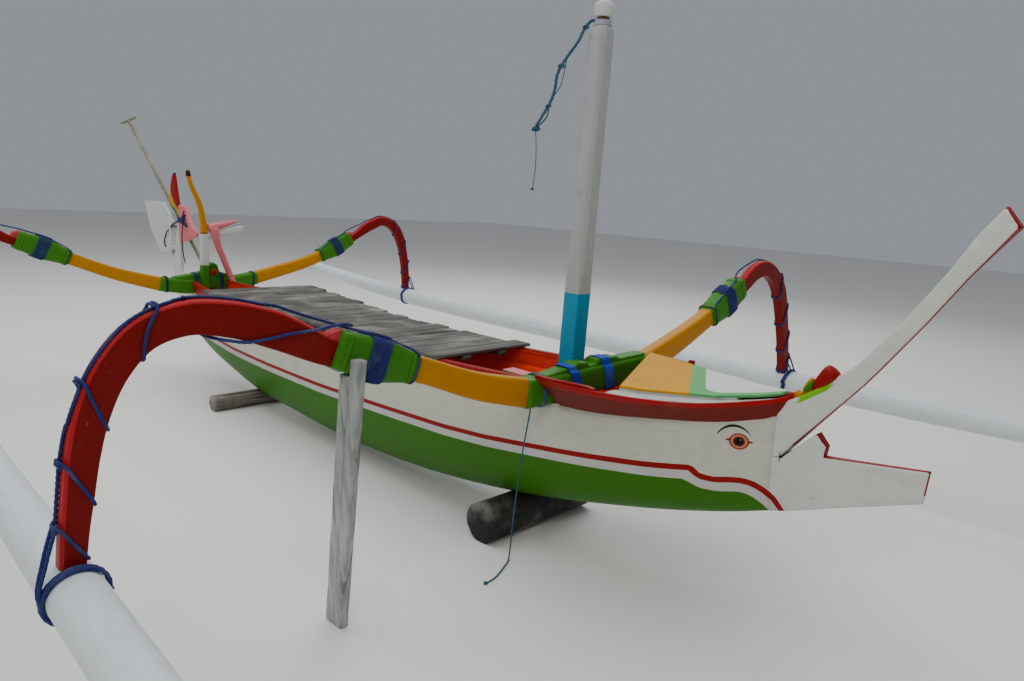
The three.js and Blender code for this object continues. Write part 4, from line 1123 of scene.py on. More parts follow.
# %% The stern post
POST = [[-4180.3, 440], [-4300, 520], [-4390, 620], [-4412, 720], [-4422, 835], [-4400, 960], [-4352, 1110],
        [-4332, 1215], [-4336, 1240], [-4307, 1240], [-4306, 1225], [-4303, 1105], [-4283, 992], [-4283, 770],
        [-4250, 738], [-4180.3, 728]]
STERN_PLAN = [[-4500, 13], [-4300, 14], [-4260, 18], [-4180, 26]]
upright_board("stern_board", POST, STERN_PLAN, WHITE, ["stern_post"], "stern_paint")
LEAF = [[-4332, 1218], [-4390, 1252], [-4492, 1313], [-4489, 1386], [-4467, 1477], [-4434, 1542],
        [-4400, 1571], [-4387, 1539], [-4347, 1400], [-4307, 1285], [-4306, 1225]]


def leaf_fields(p):
    """Heights over two slanting lines: under the lower one is green, between them yellow."""
    levels = [1.215, 1.252, 1.313, 1.386, 1.477, 1.542, 1.571]
    aft = np.interp(p[:, 2], levels, [-4.332, -4.390, -4.492, -4.489, -4.467, -4.434, -4.401])
    fore = np.interp(p[:, 2], [1.225, 1.285, 1.400, 1.539, 1.571], [-4.306, -4.307, -4.347, -4.387, -4.399])
    share = np.clip((p[:, 0] - aft) / np.maximum(fore - aft, 0.002), 0, 1)
    return {"lower": p[:, 2] - (1.341 - 0.12 * share), "upper": p[:, 2] - (1.500 - 0.24 * share**0.7),
            "tip": p[:, 2] - 1.553}


print("the leaf's outline has", len(LEAF), "corners")

# %% The rudder's pins, head, leaf and blade
RUDDER_X = -4.450
BRACKETS = [(0.930, -4.400), (1.140, -4.335)]


def block(x, y, z):
    """A block between two x, two y and two z, with softened long edges."""
    path = np.stack([np.full(6, np.mean(x)), np.full(6, np.mean(y)), np.linspace(z[0], z[1], 6)], -1)
    section = rectangle((x[1] - x[0]) / 2, (y[1] - y[0]) / 2)
    return dressed(path, (1, 0, 0), (0, 1, 0), section, 0.12)


PIN = [(-0.001, 0.0068), (0.038, 0.0068), (0.040, 0.005)]
pintles = []
for z, post_x in BRACKETS:
    pintles += [block((RUDDER_X, post_x), (-0.009, 0.009), (z - 0.016, z)),
                turned([(-0.016, 0.0088), (-0.001, 0.0088)], (RUDDER_X, 0, z), around=20),
                turned(PIN, (RUDDER_X, 0, z), around=20)]
piece("rudder_pintles", *joined(pintles), paint=GREY_WOOD, finish="white_paint")
EYE_TUBE = [(0.001, 0.0075), (0.0015, 0.012), (0.045, 0.012), (0.046, 0.0075)]
PIVOT = [(-0.0185, 0.006), (-0.0178, 0.009), (-0.0172, 0.0095), (0.0172, 0.0095), (0.0178, 0.009),
         (0.0185, 0.006)]
head = [block((-4.477, -4.4590), (-0.017, 0.017), (0.890, 1.195)),
        block((-4.560, -4.4765), (0.0112, 0.017), (0.890, 1.050)),
        block((-4.560, -4.4765), (-0.017, -0.0112), (0.890, 1.050)),
        turned(PIVOT, (-4.522, 0, 0.958), (0, 1, 0), 20)]
head += [turned(EYE_TUBE, (RUDDER_X, 0, z), around=24) for z, post_x in BRACKETS]
piece("rudder_stock", *joined(head), body="rudder", paint=WHITE, nodes=["rudder_head"], finish="white_paint")
upright_board("stern_leaf", LEAF, STERN_PLAN, LEAF_PAINT, finish="stern_paint", bevel=0.01, cell=0.012,
              extra=leaf_fields)
BLADE = [[-4522, 920], [-4503, 925], [-4489, 939], [-4484, 958], [-4484, 1205], [-4590, 1296],
         [-4615, 1322], [-5060, 1316], [-4935, 1090], [-4728, 897]]
upright_board("rudder_fin", BLADE, [[-5100, 10], [-4400, 10]], WHITE, ["rudder_blade"], "white_paint",
              "blade", 0.004)
print(len(PIECES), "pieces with the rudder")

# %% The knee and the bow's red block
KNEE = [[-4306, 1314], [-4171, 1308], [-4105, 1205], [-4041, 1146], [-3966, 1124], [-3968, 1085],
        [-4122, 1045], [-4209, 1025], [-4284, 1012], [-4302, 1120]]
upright_board("lashed_knee", KNEE, [[-4335, 20], [-4100, 20], [-4030, 12], [-3960, 12]], PINK, ["stern_knee"],
              "pink_paint", bevel=0.01, cell=0.02)
KNOB = [[965, 940], [986, 1010], [1008, 1037], [1041, 1027], [1030, 990], [1000, 950]]
upright_board("bow_block", KNOB, [[960, 14], [1045, 14]], RED, ["bow_knob"], "red_paint", cell=0.012)
print(len(PIECES), "pieces so far")

# %% [markdown]
# Along each side runs a painted strake with a broader rail, and round the bow a pair of flared
# washboards that carry the foredeck. Both are a cross section whose corners move smoothly from
# station to station. Extruding a curve would give one section all along, and these change.

# %% Strakes
STRAKE_ENDS, PANEL_ENDS = (-3.728, -0.052), (-3.66, -0.62)
RAIL_FOOT, RAIL_HEIGHT = 0.067, 0.085
for place, side in (("port", 1), ("starboard", -1)):
    x = np.linspace(*STRAKE_ENDS, 120)
    rail, half = hull_at(x)[1:]
    base = rail + 0.0003
    profile = corners_of(
        (half - 0.020, base), (half, base), (half, base + RAIL_FOOT),
        (half + 0.010, base + RAIL_FOOT + 0.002), (half + 0.010, base + RAIL_HEIGHT),
        (half - 0.026, base + RAIL_HEIGHT),
        (half - 0.026, base + RAIL_FOOT + 0.002), (half - 0.020, base + RAIL_FOOT)) * (side, 1)
    rings = np.concatenate([np.broadcast_to(x[:, None, None], profile.shape[:2] + (1,)), profile], -1)
    points, quads, tris = skin(softened(rings, 0.12))
    rise = points[:, 2] - np.interp(points[:, 0], x, base)
    end_gap = np.minimum(points[:, 0] - PANEL_ENDS[0], PANEL_ENDS[1] - points[:, 0])
    panel = np.minimum(np.minimum(rise - 0.010, 0.058 - rise), end_gap)
    within = np.abs(points[:, 1]) < np.interp(points[:, 0], x, half) - 0.012
    fields = {"panel": np.where(within, -1, panel), "within": (within & (rise < 0.080)).astype(float)}
    piece(f"side_strake_{place}", points, quads, tris, paint=STRAKE_PAINT, nodes=[f"strake_{place}"],
          finish="red_paint", fields=fields)
print(len(PIECES), "pieces with the strakes")

# %% Washboards
WASH = np.array([
    [82, 262, 736, 395, 858], [120, 262, 736, 395, 858], [440, 230, 770, 335, 858], [660, 170, 800, 238, 872],
    [800, 104, 828, 132, 896], [876, 60, 851, 72, 915], [915, 30, 872, 36, 932]]) / 1000
for place, side in (("port", 1), ("starboard", -1)):
    x, foot_y, foot_z, top_y, top_z = WASH.T
    lean = np.where(np.arange(len(x)) == 0, -0.030, 0.0)
    corners = corners_of(
        (x, foot_y - 0.022, foot_z - 0.012), (x, foot_y, foot_z - 0.012),
        (x + lean, top_y + 0.011, top_z), (x + lean, top_y - 0.011, top_z)) * (1, side, 1)
    rings = through(corners.reshape(len(x), -1), 60, dims=12).reshape(60, 4, 3)
    points, quads, tris = skin(softened(rings, 0.16))
    up = (points[:, 2] - np.interp(points[:, 0], x, foot_z)) / np.interp(points[:, 0], x, top_z - foot_z)
    piece(f"flared_washboard_{place}", points, quads, tris, paint=SHADED_WASHBOARD_RED, nodes=[f"washboard_{place}"],
          finish="washboard_paint", fields={"up": up})
print(len(PIECES), "pieces with the washboards")

# %% [markdown]
# The foredeck is a thin painted board laid askew on the washboards, with a worn white plank under
# its near edge. Its outline is flat, and the boards take their height from the washboards' tops.

# %% Foredeck
def deck_top(x):
    """The height of the washboards' upper edge at any x."""
    return np.interp(x, [0.0, *WASH[1:, 0]], [0.858, *WASH[1:, 4]])


def level_board(outline, half, lift, bevel=0.003, cell=0.03):
    """A board of one thickness, with its middle this far over the washboards' tops."""
    return board(outline, lambda u, v: np.full(len(u), half),
                 lambda u, v, w: np.stack([u, v, deck_top(u) + lift + w], -1), bevel, cell)


FOREDECK = [[354, -259], [45, 400], [300, 352], [580, 262], [780, 140], [868, 40], [868, -24], [740, -90],
            [586, -155]]
PANEL_ROUND = 0.07
points, walls, tris, fields = level_board(FOREDECK, 0.0058, 0.0063, cell=0.014)
ahead = (points[:, :2] - (0.300, 0.352)) @ unit(np.array([0.507, 0.286]))
near_line = np.array([[0.586, -0.155], [0.740, -0.090], [0.868, -0.024]])
near = points[:, 1] - np.interp(points[:, 0], *near_line.T)
round_x, round_y = (np.maximum(PANEL_ROUND - (gap - 0.058), 0) for gap in (ahead, near))
piece("foredeck_board", points, walls, tris, paint=DECK_PAINT, nodes=["foredeck"], finish="yellow_paint",
      fields={"ahead": ahead, "panel": PANEL_ROUND - np.hypot(round_x, round_y)})
EDGE_PLANK = [[354, -259], [586, -155], [740, -90], [740, -60], [575, -125], [344, -229]]
MARGIN = [[342, -262], [586, -157], [740, -92], [864, -26], [864, -52], [800, -112], [660, -216],
          [440, -312], [342, -330]]
for name, outline, half, lift in (("foredeck_edge", EDGE_PLANK, 0.0105, -0.0065),
                                  ("foredeck_margin", MARGIN, 0.0045, -0.009)):
    points, walls, tris, fields = level_board(outline, half, lift)
    piece(name, points, walls, tris, paint=SALT_WHITE, finish="yellow_paint", fields=fields)
print(len(PIECES), "pieces with the foredeck")

# %% [markdown]
# The mast is a squared trunk, blue to knee height, dressed to eight sides above and topped by a
# turned cap on a thin neck. A turned part is a profile swung round an axis.

# %% Mast
RAKE = 0.02
MAST_X = -0.108
MAST_FOOT = 0.290
z = np.r_[np.linspace(MAST_FOOT, 1.148, 30), np.linspace(1.16, 1.30, 10), np.linspace(1.34, 2.208, 40),
          2.222, 2.228]
half = np.interp(z, [0.290, 1.148, 1.308, 2.208, 2.228], [0.042, 0.042, 0.045, 0.043, 0.036])
cut_back = np.interp(z, [0.290, 1.148, 1.308, 2.228], [0.12, 0.12, 0.414, 0.414])
c = half * (1 - cut_back)
eight = corners_of((half, c), (c, half), (-c, half), (-half, c),
                   (-half, -c), (-c, -half), (c, -half), (half, -c))
path = np.stack([MAST_X + RAKE * (z - MAST_FOOT), np.zeros(len(z)), z], -1)
piece("mast_trunk", *dressed(path, (1, 0, 0), (0, 1, 0), eight, 0.14), body="mast", paint=MAST_PAINT,
      nodes=["mast"], finish="mast_paint")
TOP = np.array([MAST_X + RAKE * 1.938, 0, 2.228])
ALONG_MAST = (RAKE, 0, 1)
NECK = [(-0.02, 0.024), (0.03, 0.024), (0.051, 0.023)]
COLLAR = [(0.0004, 0.026), (0.0006, 0.036), (0.006, 0.0385), (0.012, 0.036), (0.0135, 0.034),
          (0.020, 0.037), (0.025, 0.033), (0.0255, 0.0265)]
CAP = [(0.037, 0.024), (0.037, 0.0375), (0.043, 0.0395), (0.078, 0.0388), (0.088, 0.0362), (0.094, 0.031),
       (0.0975, 0.022), (0.0990, 0.010)]
piece("mast_neck", *turned(NECK, TOP, ALONG_MAST), body="mast", paint=NECK_WOOD, finish="mast_paint")
piece("mast_collar", *turned(COLLAR, TOP, ALONG_MAST), body="mast", paint=COLLAR_GREY, finish="mast_paint")
piece("mast_cap_turned", *turned(CAP, TOP + (0.001, 0, 0)), body="mast", paint=WHITE, nodes=["mast_cap"],
      finish="mast_paint")
print(len(PIECES), "pieces with the mast")

# %% [markdown]
# A working deck of loose slats lies over the rails aft of the cockpit, on two bearers. The boards
# are weathered, no two are the same length, and each has shrunk and cupped a little in its own way.
# An array modifier would lay them all alike, so each slat is drawn with its own small numbers.

# %% Deck
rng = np.random.default_rng(7)
SLATS = 20
DECK_ENDS = (-3.2, -0.635)
DECK_LIFT = 0.0862   # from the hull's rail up to the tops of the slats' bearers
slat_x = np.linspace(*DECK_ENDS, SLATS + 1)
wide = (slat_x[1] - slat_x[0]) - 0.011
parts = []
for k in range(SLATS):
    middle = (slat_x[k] + slat_x[k + 1]) / 2
    reach = np.interp(k, [0, 11, 20], [0.54, 0.30, 0.30]) + 0.022 * np.sin(k * 2.4)
    y = np.linspace(-0.318 + 0.010 * np.cos(k * 1.7), reach, 14)
    sag = 0.0025 * np.sin(y * 5 + k) * rng.uniform(0.2, 1)
    z = hull_at(middle)[1] + DECK_LIFT + 0.010 + sag * 0.4 + 0.0012 * np.cos(5 * k)
    path = np.stack([np.full(14, middle) + 0.002 * np.sin(3 * y + k), y, z], -1)
    parts.append(dressed(path, (1, 0, 0), (0, 0, 1), rectangle(wide / 2, 0.0085), 0.10))
for y in (-0.12, 0.12):
    x = np.linspace(*DECK_ENDS, 30)
    path = np.stack([x, np.full(30, y), hull_at(x)[1] + DECK_LIFT - 0.012], -1)
    parts.append(dressed(path, (0, 1, 0), (0, 0, 1), rectangle(0.025, 0.0118), 0.10))
shades = [*np.clip(0.42 + 0.30 * rng.standard_normal(SLATS), 0, 0.9), 0.2, 0.2]
shade = np.concatenate([np.full(len(part[0]), value) for part, value in zip(parts, shades)])
piece("deck_boards", *joined(parts), paint=GREY_WOOD, nodes=["deck"], finish="grey_wood",
      fields={"shade": shade})
print(SLATS, "slats")

# %% [markdown]
# On the rear boom stands the crutch for the lowered sail: a white post with a yellow horn, a notched
# beam, a tapered pink roller and a curved pink brace. All but the roller are bars in one plane.

# %% Crutch
CRUTCH_X = REAR_X + 0.048 + 0.0003 + 0.027   # half the boom, a hair's gap and half the post


def bar(rows, width, count=60, power=0.6):
    """A timber in the crutch's plane. Its rows are y, z and depth and, where it leaves that plane,
    the distance forward."""
    line = through(np.asarray(rows, float) / 1000, count, dims=2)
    forward = line[:, 3] if line.shape[1] > 3 else np.zeros(count)
    path = np.stack([CRUTCH_X + forward, line[:, 0], line[:, 1]], -1)
    up = unit(np.cross((1, 0, 0), np.gradient(path, axis=0)))
    shape = squared(24, power) * np.stack([np.full(count, width / 2), line[:, 2] / 2], -1)[:, None]
    return skin(carried(path, (1, 0, 0), up, shape))


UPRIGHT_ROWS = [[-65, 690, 54], [-65, 900, 54], [-65, 1125, 54]]
HORN = [[-65, 1125.3, 50], [-65, 1160, 46], [-75, 1240, 42], [-98, 1350, 36], [-142, 1450, 30],
        [-170, 1530, 25], [-177, 1572, 27], [-178, 1589, 14]]
BEAM = [[-65, 1102, 40], [90, 1137, 40], [240, 1171, 40]]
BRACE = [[0, 1174, 58, 38], [4, 1140, 57, 38], [13, 1095, 52, 34], [32, 1040, 47, 20], [66, 972, 44, 5],
         [118, 850, 43, 0], [164, 738, 40, 0]]
for name, made, paint, node, finish in (
        ("crutch_upright", bar(UPRIGHT_ROWS, 0.054, 60, 0.2), CRUTCH_PAINT, "crutch_post", "white_paint"),
        ("crutch_horn_carved", bar(HORN, 0.042), HORN_PAINT, "crutch_horn", "yellow_paint"),
        ("crutch_crossbeam", bar(BEAM, 0.040, 40, 0.3), WHITE, "crutch_beam", "white_paint"),
        ("crutch_brace_grown", bar(BRACE, 0.040), PINK, "crutch_brace", "pink_paint")):
    piece(name, *made, paint=paint, nodes=[node], finish=finish)
ROLL_SLOPE = 0.27
ROLL = [(-0.112, 0.018), (-0.112, 0.031), (-0.106, 0.034), (-0.06, 0.0318), (0, 0.025), (0.06, 0.0188),
        (0.106, 0.0138), (0.112, 0.008)]
along_roll = (0, math.cos(ROLL_SLOPE), math.sin(ROLL_SLOPE))
piece("crutch_roller_turned", *turned(ROLL, (CRUTCH_X, 0.077, 1.1952), along_roll), paint=PINK,
      nodes=["crutch_roller"], finish="pink_paint")
print(len(PIECES), "pieces with the crutch")

# %% [markdown]
# A carved block stands on each boom, beside the hull's middle. Its outline lies across the boat, so
# it is a board too, with the thickness now running fore and aft.

# %% Saddles
def across_board(name, outline, x, half, paint, nodes, finish, bevel=0.008, cell=0.02):
    """A block whose outline lies across the boat; half is half its thickness along x."""
    points, walls, tris, fields = board(
        outline, lambda u, v: np.full(len(u), half), lambda u, v, w: np.stack([x + w, u, v], -1), bevel, cell)
    return piece(name, points, walls, tris, "canoe", paint, nodes, finish, fields=fields)


SADDLE_REAR = [[-275, 745], [-275, 795], [-120, 818], [-42, 840], [-42, 866], [0, 893], [30, 900], [55, 882],
               [73, 824], [180, 806], [180, 745]]
across_board("rear_saddle", SADDLE_REAR, REAR_X, 0.036, GREEN, ["saddle_rear"], "green_paint")
SADDLE_FRONT = [[-330, 815], [-330, 840], [-151, 862], [-128, 866], [-112, 876], [-45, 870], [-32, 854],
                [11, 854], [20, 876], [96, 876], [162, 874], [184, 862], [380, 866], [380, 815]]
across_board("front_saddle", SADDLE_FRONT, 0.0, 0.034, GREEN, ["saddle_front"], "green_paint", 0.006, 0.014)
print(len(PIECES), "pieces so far")

# %% [markdown]
# Ashore the canoe rests on two logs and on a split post under its starboard arm. A long pole with a
# cross handle leans over the stern. Rough trunks come from waves in the radius: displacing a
# cylinder with noise would do as well, but then the flat that lies on the ground is harder to keep.

# %% Logs
def logged(name, x, radius, start, end, paint, node, finish, rough):
    """A trunk along y: its radius is stirred by a few waves round and along it, and it is cut off
    level just over the ground."""
    count, around = 60, 48
    y = np.linspace(start, end, count)[:, None]
    a = np.linspace(0, 2 * np.pi, around, endpoint=False)
    waves = np.sin(3 * a + 4 * y) + 0.7 * np.sin(7 * a - 9 * y + 1) + 0.5 * np.sin(13 * a + 23 * y)
    r = radius * (0.965 + rough * waves)
    z = np.maximum(radius * 0.985 + r * np.sin(a), 0.0005)
    points = np.stack([x + r * np.cos(a), np.broadcast_to(y, r.shape), z], -1)
    return piece(name, *skin(points), paint=paint, nodes=[node], finish=finish)


# The bow log is dark both from wet wood and from painted shade.
logged("log_under_bow", -0.300, 0.095, -0.3, 0.4, WET_LOG_WITH_PAINTED_SHADE, "log_front", "dark_log", 0.012)
logged("log_under_stern", -2.830, 0.056, -0.4, 0.33, GREY_LOG, "log_stern", "grey_log", 0.006)
print(len(PIECES), "pieces with the logs")

# %% Split post
POST_FOOT, POST_TOP = np.array([-0.160, -1.131, 0.0005]), np.array([0.046, -1.222, 1.020])


def post_half(near_edge, far_edge, top, seed):
    """One half of the split post, between two distances from its middle line, cut off at a height."""
    t = np.linspace(0, top, 90)[:, None]
    path = (1 - t) * POST_FOOT + t * POST_TOP
    wave = 0.0016 * np.sin(23 * t + seed) + 0.0010 * np.sin(57 * t + 2 * seed)
    corners = np.array([[far_edge, 0.0175], [near_edge, 0.0175], [near_edge, -0.0175], [far_edge, -0.0175]])
    return skin(carried(path, (1, 0, 0), (0, 1, 0), softened(corners, 0.16) * (1 + wave[:, None] * 8)))


piece("split_post", *joined([post_half(-0.050, 0.0035, 0.942, 1.0), post_half(0.004, 0.046, 1.0, 4.0)]),
      paint=POST_WOOD, nodes=["prop_post"], finish="raw_wood")
print("the post is", round(length_of([POST_FOOT, POST_TOP]), 3), "m long")

# %% Pole
FOOT, HEAD = np.array([-3.832, 0.0343, 0.769]), np.array([-5.5088, 0.0343, 2.017])
POLE_RADIUS = 0.0137
GRIP = [(-0.07, 0.009), (-0.066, 0.011), (0.066, 0.011), (0.07, 0.009)]
pole_axis = unit(HEAD - FOOT)
grip_axis = np.array([0.356, 0.802, 0.479])
pole_length = np.linalg.norm(HEAD - FOOT)
shaft = turned([(d, POLE_RADIUS) for d in np.linspace(0, pole_length, 30)], FOOT, pole_axis, 16)
grip = turned(GRIP, HEAD - 0.003 * pole_axis, grip_axis, 14)
piece("handled_pole", *joined([shaft, grip]), paint=POLE_WOOD, nodes=["pole"], finish="raw_wood")
print("the pole is", round(float(pole_length), 3), "m long")

# %% [markdown]
# Everything that bears a load is tied, not bolted. The blue line starts at each sleeve, runs along
# the back of the crook, takes a hitch round it every half metre and ends in turns round the float.
# The ropes are placed by distance along the arm and by quarter turns round it.

# %% Places on an arm
def arm_line(place):
    """The arm's whole line: the distance of each point from its root, the path, the outward
    direction and the depth."""
    side, x_boom, rows = ARMS[place]
    path, up, depth = stretch(rows, side, x_boom, rows[0][0] / 1000, rows[-1][0] / 1000, 900)
    return distances(path), path, up, depth


ARM_LINES = {place: arm_line(place) for place in ARMS}
ARM_SQUARE = 0.42


def s_at(place, y):
    """The distance along the arm where it is this far from the boat's middle."""
    known, path = ARM_LINES[place][:2]
    return float(np.interp(y, np.abs(path[:, 1]), known))


def half_at(place, s):
    """Half the arm's depth at a distance along it."""
    return np.interp(s, ARM_LINES[place][0], ARM_LINES[place][3]) / 2


def sleeve_half(place, s):
    """Half the sleeve's depth at a distance along the arm."""
    ends = np.linspace(s_at(place, SLEEVE[0]), s_at(place, SLEEVE[1]), 6)
    return np.interp(s, ends, SLEEVE_DEPTHS / 2)


def around_arm(place, s, quarter, wide, deep):
    """Points round the arm at distances s. Quarter turns count from its back: 0 is the outer edge,
    1 the forward face, 2 the inner edge. Also gives the direction away from the timber there."""
    known, path, up = ARM_LINES[place][:3]
    at, up_at = (np.stack([np.interp(s, known, column) for column in values.T], -1) for values in (path, up))
    turn = np.asarray(quarter) * np.pi / 2
    c, k = pushed(np.cos(turn), ARM_SQUARE), pushed(np.sin(turn), ARM_SQUARE)
    out = (unit(up_at) * c[:, None] * np.asarray(deep).reshape(-1, 1)
           + np.array([1.0, 0, 0]) * k[:, None] * np.asarray(wide).reshape(-1, 1))
    return at + out, unit(out)


def rope_piece(name, parts, paint, body="canoe", around=8):
    """Several runs of laid rope as one piece; each part is a path, its outward direction and a
    radius."""
    runs = [laid(path, radius, away=away, around=around) for path, away, radius in parts]
    points, quads, tris = joined(runs)
    return piece(name, points, quads, tris, body, paint, finish="cord")


print("arm lengths:", {place: round(float(line[0][-1]), 3) for place, line in ARM_LINES.items()})

# %% Ropes on the sleeves
def sleeve_turns(place, turns):
    """A rope wound over the middle of the sleeve."""
    q = np.linspace(0, 4 * turns, 40 * turns)
    start, end = s_at(place, 1.098), s_at(place, 1.172)
    s = start + (end - start) * q / q[-1]
    at, away = around_arm(place, s, q, 0.0520, sleeve_half(place, s) + 0.0025)
    return at, away, 0.0052


def inner_ring(place):
    """One turn at the sleeve's inner end."""
    s = np.full(60, s_at(place, 0.978))
    at, away = around_arm(place, s, np.linspace(0.2, 4.2, 60), 0.0500, sleeve_half(place, s) + 0.0015)
    return at, away, 0.0042


def inner_line(place):
    """From the turns back to that ring."""
    s = np.array([s_at(place, y) for y in (1.098, 1.05, 1.0, 0.980)])
    at, away = around_arm(place, s, np.array([0.25, 0.25, 0.30, 0.55]), 0.053, sleeve_half(place, s) + 0.006)
    return through(at, 60), through(away, 60), 0.0045


print("the turns on a sleeve cover", round(s_at("rear_port", 1.172) - s_at("rear_port", 1.098), 3), "m")

# %% Ropes on the crooks
THICK = 0.0052
HITCHES = [(1.432, 1.536), (1.642, 1.748), (1.832, 1.941), (1.992, 2.081)]
MEASURED_END, MEASURED_START = 2.098, 0.7736   # of the arm on which the hitches were measured


def hitch_scale(place):
    """This arm's crook against the measured one."""
    return (ARM_LINES[place][0][-1] - s_at(place, CROOK_FROM)) / (MEASURED_END - MEASURED_START)


def hitch_places(place):
    """Where each hitch crosses the outer and the inner edge, counted back from the arm's end."""
    end, scale = ARM_LINES[place][0][-1], hitch_scale(place)
    return [[end - (MEASURED_END - s) * scale for s in pair] for pair in HITCHES]


def back_line(place):
    """From the turns on the sleeve, over the wedge and along the crook's back to the last hitch."""
    s = np.linspace(s_at(place, 1.42), hitch_places(place)[-1][0], 180)
    lift = 0.006 * np.sin(np.pi * np.clip((s - s[0]) / 0.10, 0, 1))
    at, away = around_arm(place, s, 0.12 * np.sin(9 * s), CROOK_HALF + THICK,
                          half_at(place, s) + THICK - 0.0006 + lift)
    s = np.array([s_at(place, y) for y in (1.098, 1.16, 1.23, 1.262)])
    start, start_away = around_arm(place, s, np.array([0.20, 0.16, 0.05, 0.0]), 0.056,
                                   sleeve_half(place, s) + 0.010)
    whole, whole_away = np.concatenate([start, at[6:]]), np.concatenate([start_away, away[6:]])
    return through(whole, 460), through(whole_away, 460), THICK


def hitch(place, out_s, in_s):
    """One turn that slants from the outer edge to the inner one, humped where it crosses the line."""
    q = np.linspace(-0.25, 4.25, 120)
    face = pushed(np.cos(q * QUARTER), ARM_SQUARE)
    s = out_s + (in_s - out_s) * (1 - face) / 2 + 0.008 * (q > 2)
    at, away = around_arm(place, s, q, CROOK_HALF + THICK * 0.9, half_at(place, s) + THICK * 0.9)
    bulge = (hump(q, 0, 0.3) + hump(q, 4, 0.3))[:, None] * 0.008
    return at + bulge * away, away, THICK


print(len(HITCHES), "hitches on each crook")

# %% The slack line of the near arm
SWEEP = np.array([
    [-0.010, -1.195, 1.112], [0.018, -1.245, 1.124], [0.032, -1.290, 1.124], [0.0312, -1.339, 1.117],
    [0.0308, -1.423, 1.112], [0.0306, -1.503, 1.102], [0.0306, -1.556, 1.099], [0.0285, -1.605, 1.108],
    [0.0, -1.640, 1.1145], [-0.0280, -1.668, 1.128], [-0.0306, -1.690, 1.170], [-0.026, -1.706, 1.216],
    [0.004, -1.715, 1.229]])
sweep = through(SWEEP, 180)
sweep_away = unit(np.stack([sweep[:, 0], 0 * sweep[:, 0], np.full(180, 0.012)], -1))
print("slack line:", round(length_of(sweep), 3), "m")

# %% Ties round the floats
def float_tie(place):
    """Two turns round the float, and two ropes from the crook's foot down and under it."""
    side, x_boom = ARMS[place][:2]
    float_at = through(FLOAT, 900)
    ring_x = x_boom + 0.037
    centre = np.array([np.interp(ring_x, float_at[:, 0], float_at[:, k]) for k in range(3)]) * (1, side, 1)
    girth = np.interp(ring_x, FLOAT[:, 0], FLOAT[:, 3])
    a = np.linspace(0, 4 * np.pi, 170)
    out = np.stack([np.zeros(170), -side * np.cos(a), np.sin(a)], -1)
    drift = np.stack([0.012 * a / (2 * np.pi) - 0.012 + 0.016 * np.sin(a), 0 * a, 0 * a], -1)
    parts = [(centre + out * (girth + 0.0068) + drift, out, 0.0068)]
    foot = ARM_LINES[place][0][-1] - 0.115 * hitch_scale(place)
    for quarter, lean in ((0.1, 1.0), (-0.1, -0.6)):
        deep = half_at(place, foot) + 0.008
        top = around_arm(place, np.array([foot]), np.array([quarter]), 0.031, deep)[0][0]
        low = centre + np.array([0.008 * lean, side * (girth + 0.010), 0.012])
        under = centre + np.array([0.004 * lean, side * 0.62 * girth, -0.80 * girth])
        mid = (top + low) / 2 + np.array([0.004 * lean, side * 0.006, 0])
        line = through(np.array([top, mid, low, under]), 60)
        parts.append((line, np.broadcast_to((0.0, side, 0.35), line.shape), 0.0055))
    return parts


for place in ARMS:
    near = place == "front_starboard"
    parts = [sleeve_turns(place, 8 if near else 6), back_line(place), inner_line(place)]
    parts += [hitch(place, *pair) for pair in hitch_places(place)]
    if near:
        parts.append((sweep, sweep_away, THICK))
    rope_piece(f"crook_rope_{place}", parts, BLUE_ROPE)
    rope_piece(f"sleeve_ring_{place}", [inner_ring(place)], SLEEVE_RING if near else DARK_ROPE)
    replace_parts(rope_piece(f"float_tie_{place}", float_tie(place), BLUE_ROPE), f"float_lashing_{place}")
print(len(PIECES), "pieces with the arms tied")

# %% [markdown]
# Amidships the booms are held down by flat blue bands, and thinner line closes the joints between
# the green middles and the yellow spars. A band is a flat strip carried round the timber, which
# keeps its face to the wood all the way round. A plain curve with a bevel would roll over.

# %% Bands on the front boom
def box_loop(half_x, low, high, round_off, count):
    """A rounded rectangle in x and z, from the middle of its top, and the outward direction along it."""
    angle = np.linspace(np.pi / 2, np.pi / 2 - 2 * np.pi, count)
    c, k = np.cos(angle), np.sin(angle)
    shape = np.stack([pushed(c, round_off) * half_x, pushed(k, round_off) * (high - low) / 2], -1)
    return shape + (0, (high + low) / 2), np.stack([c, np.zeros(count), k], -1)


def band(name, y_top, slant, low, high, half_x, width, thick=0.0016):
    """A strip with nine faint ridges along it. It slants along the boom as it goes down, and it is
    drawn in over the saddle on top."""
    loop, out = box_loop(half_x + thick, low - thick, high + thick, 0.22, 160)
    loop[:, 0] *= 1 - 0.26 * eased((loop[:, 1] - 0.838) / 0.012)
    path = np.stack([loop[:, 0], y_top + slant * (high - loop[:, 1]), loop[:, 1]], -1)
    across = np.stack([np.zeros(160), np.ones(160), np.full(160, -0.02)], -1)
    ridges = np.linspace(-1, 1, 9)
    face = np.stack([ridges * width / 2, thick * (0.75 + 0.25 * np.cos(ridges * 12))], -1)
    underside = np.stack([ridges[::-1] * width / 2, np.full(9, -thick)], -1)
    made = skin(carried(path, unit(across), unit(out), np.concatenate([face, underside])))
    piece(name, *made, paint=BLUE_BAND, finish="cord")


band("boom_band_1", -0.155, 0.43, 0.722, 0.863, 0.0485, 0.054)
band("boom_band_2", 0.073, 0.26, 0.732, 0.877, 0.0485, 0.062)
print(len(PIECES), "pieces with the bands")

# %% Turns of line on the booms
def wound(x, y, low, high, half_x, turns, pitch, radius):
    """Turns of line round a boom at one y. Each turn moves on by the pitch."""
    loop, out = box_loop(half_x + radius, low - radius, high + radius, 0.45, 50)
    n = int(50 * turns)
    k = np.arange(n) % 49
    path = np.stack([x + loop[k, 0], y + pitch * np.arange(n) / 49, loop[k, 1]], -1)
    return path, out[k], radius


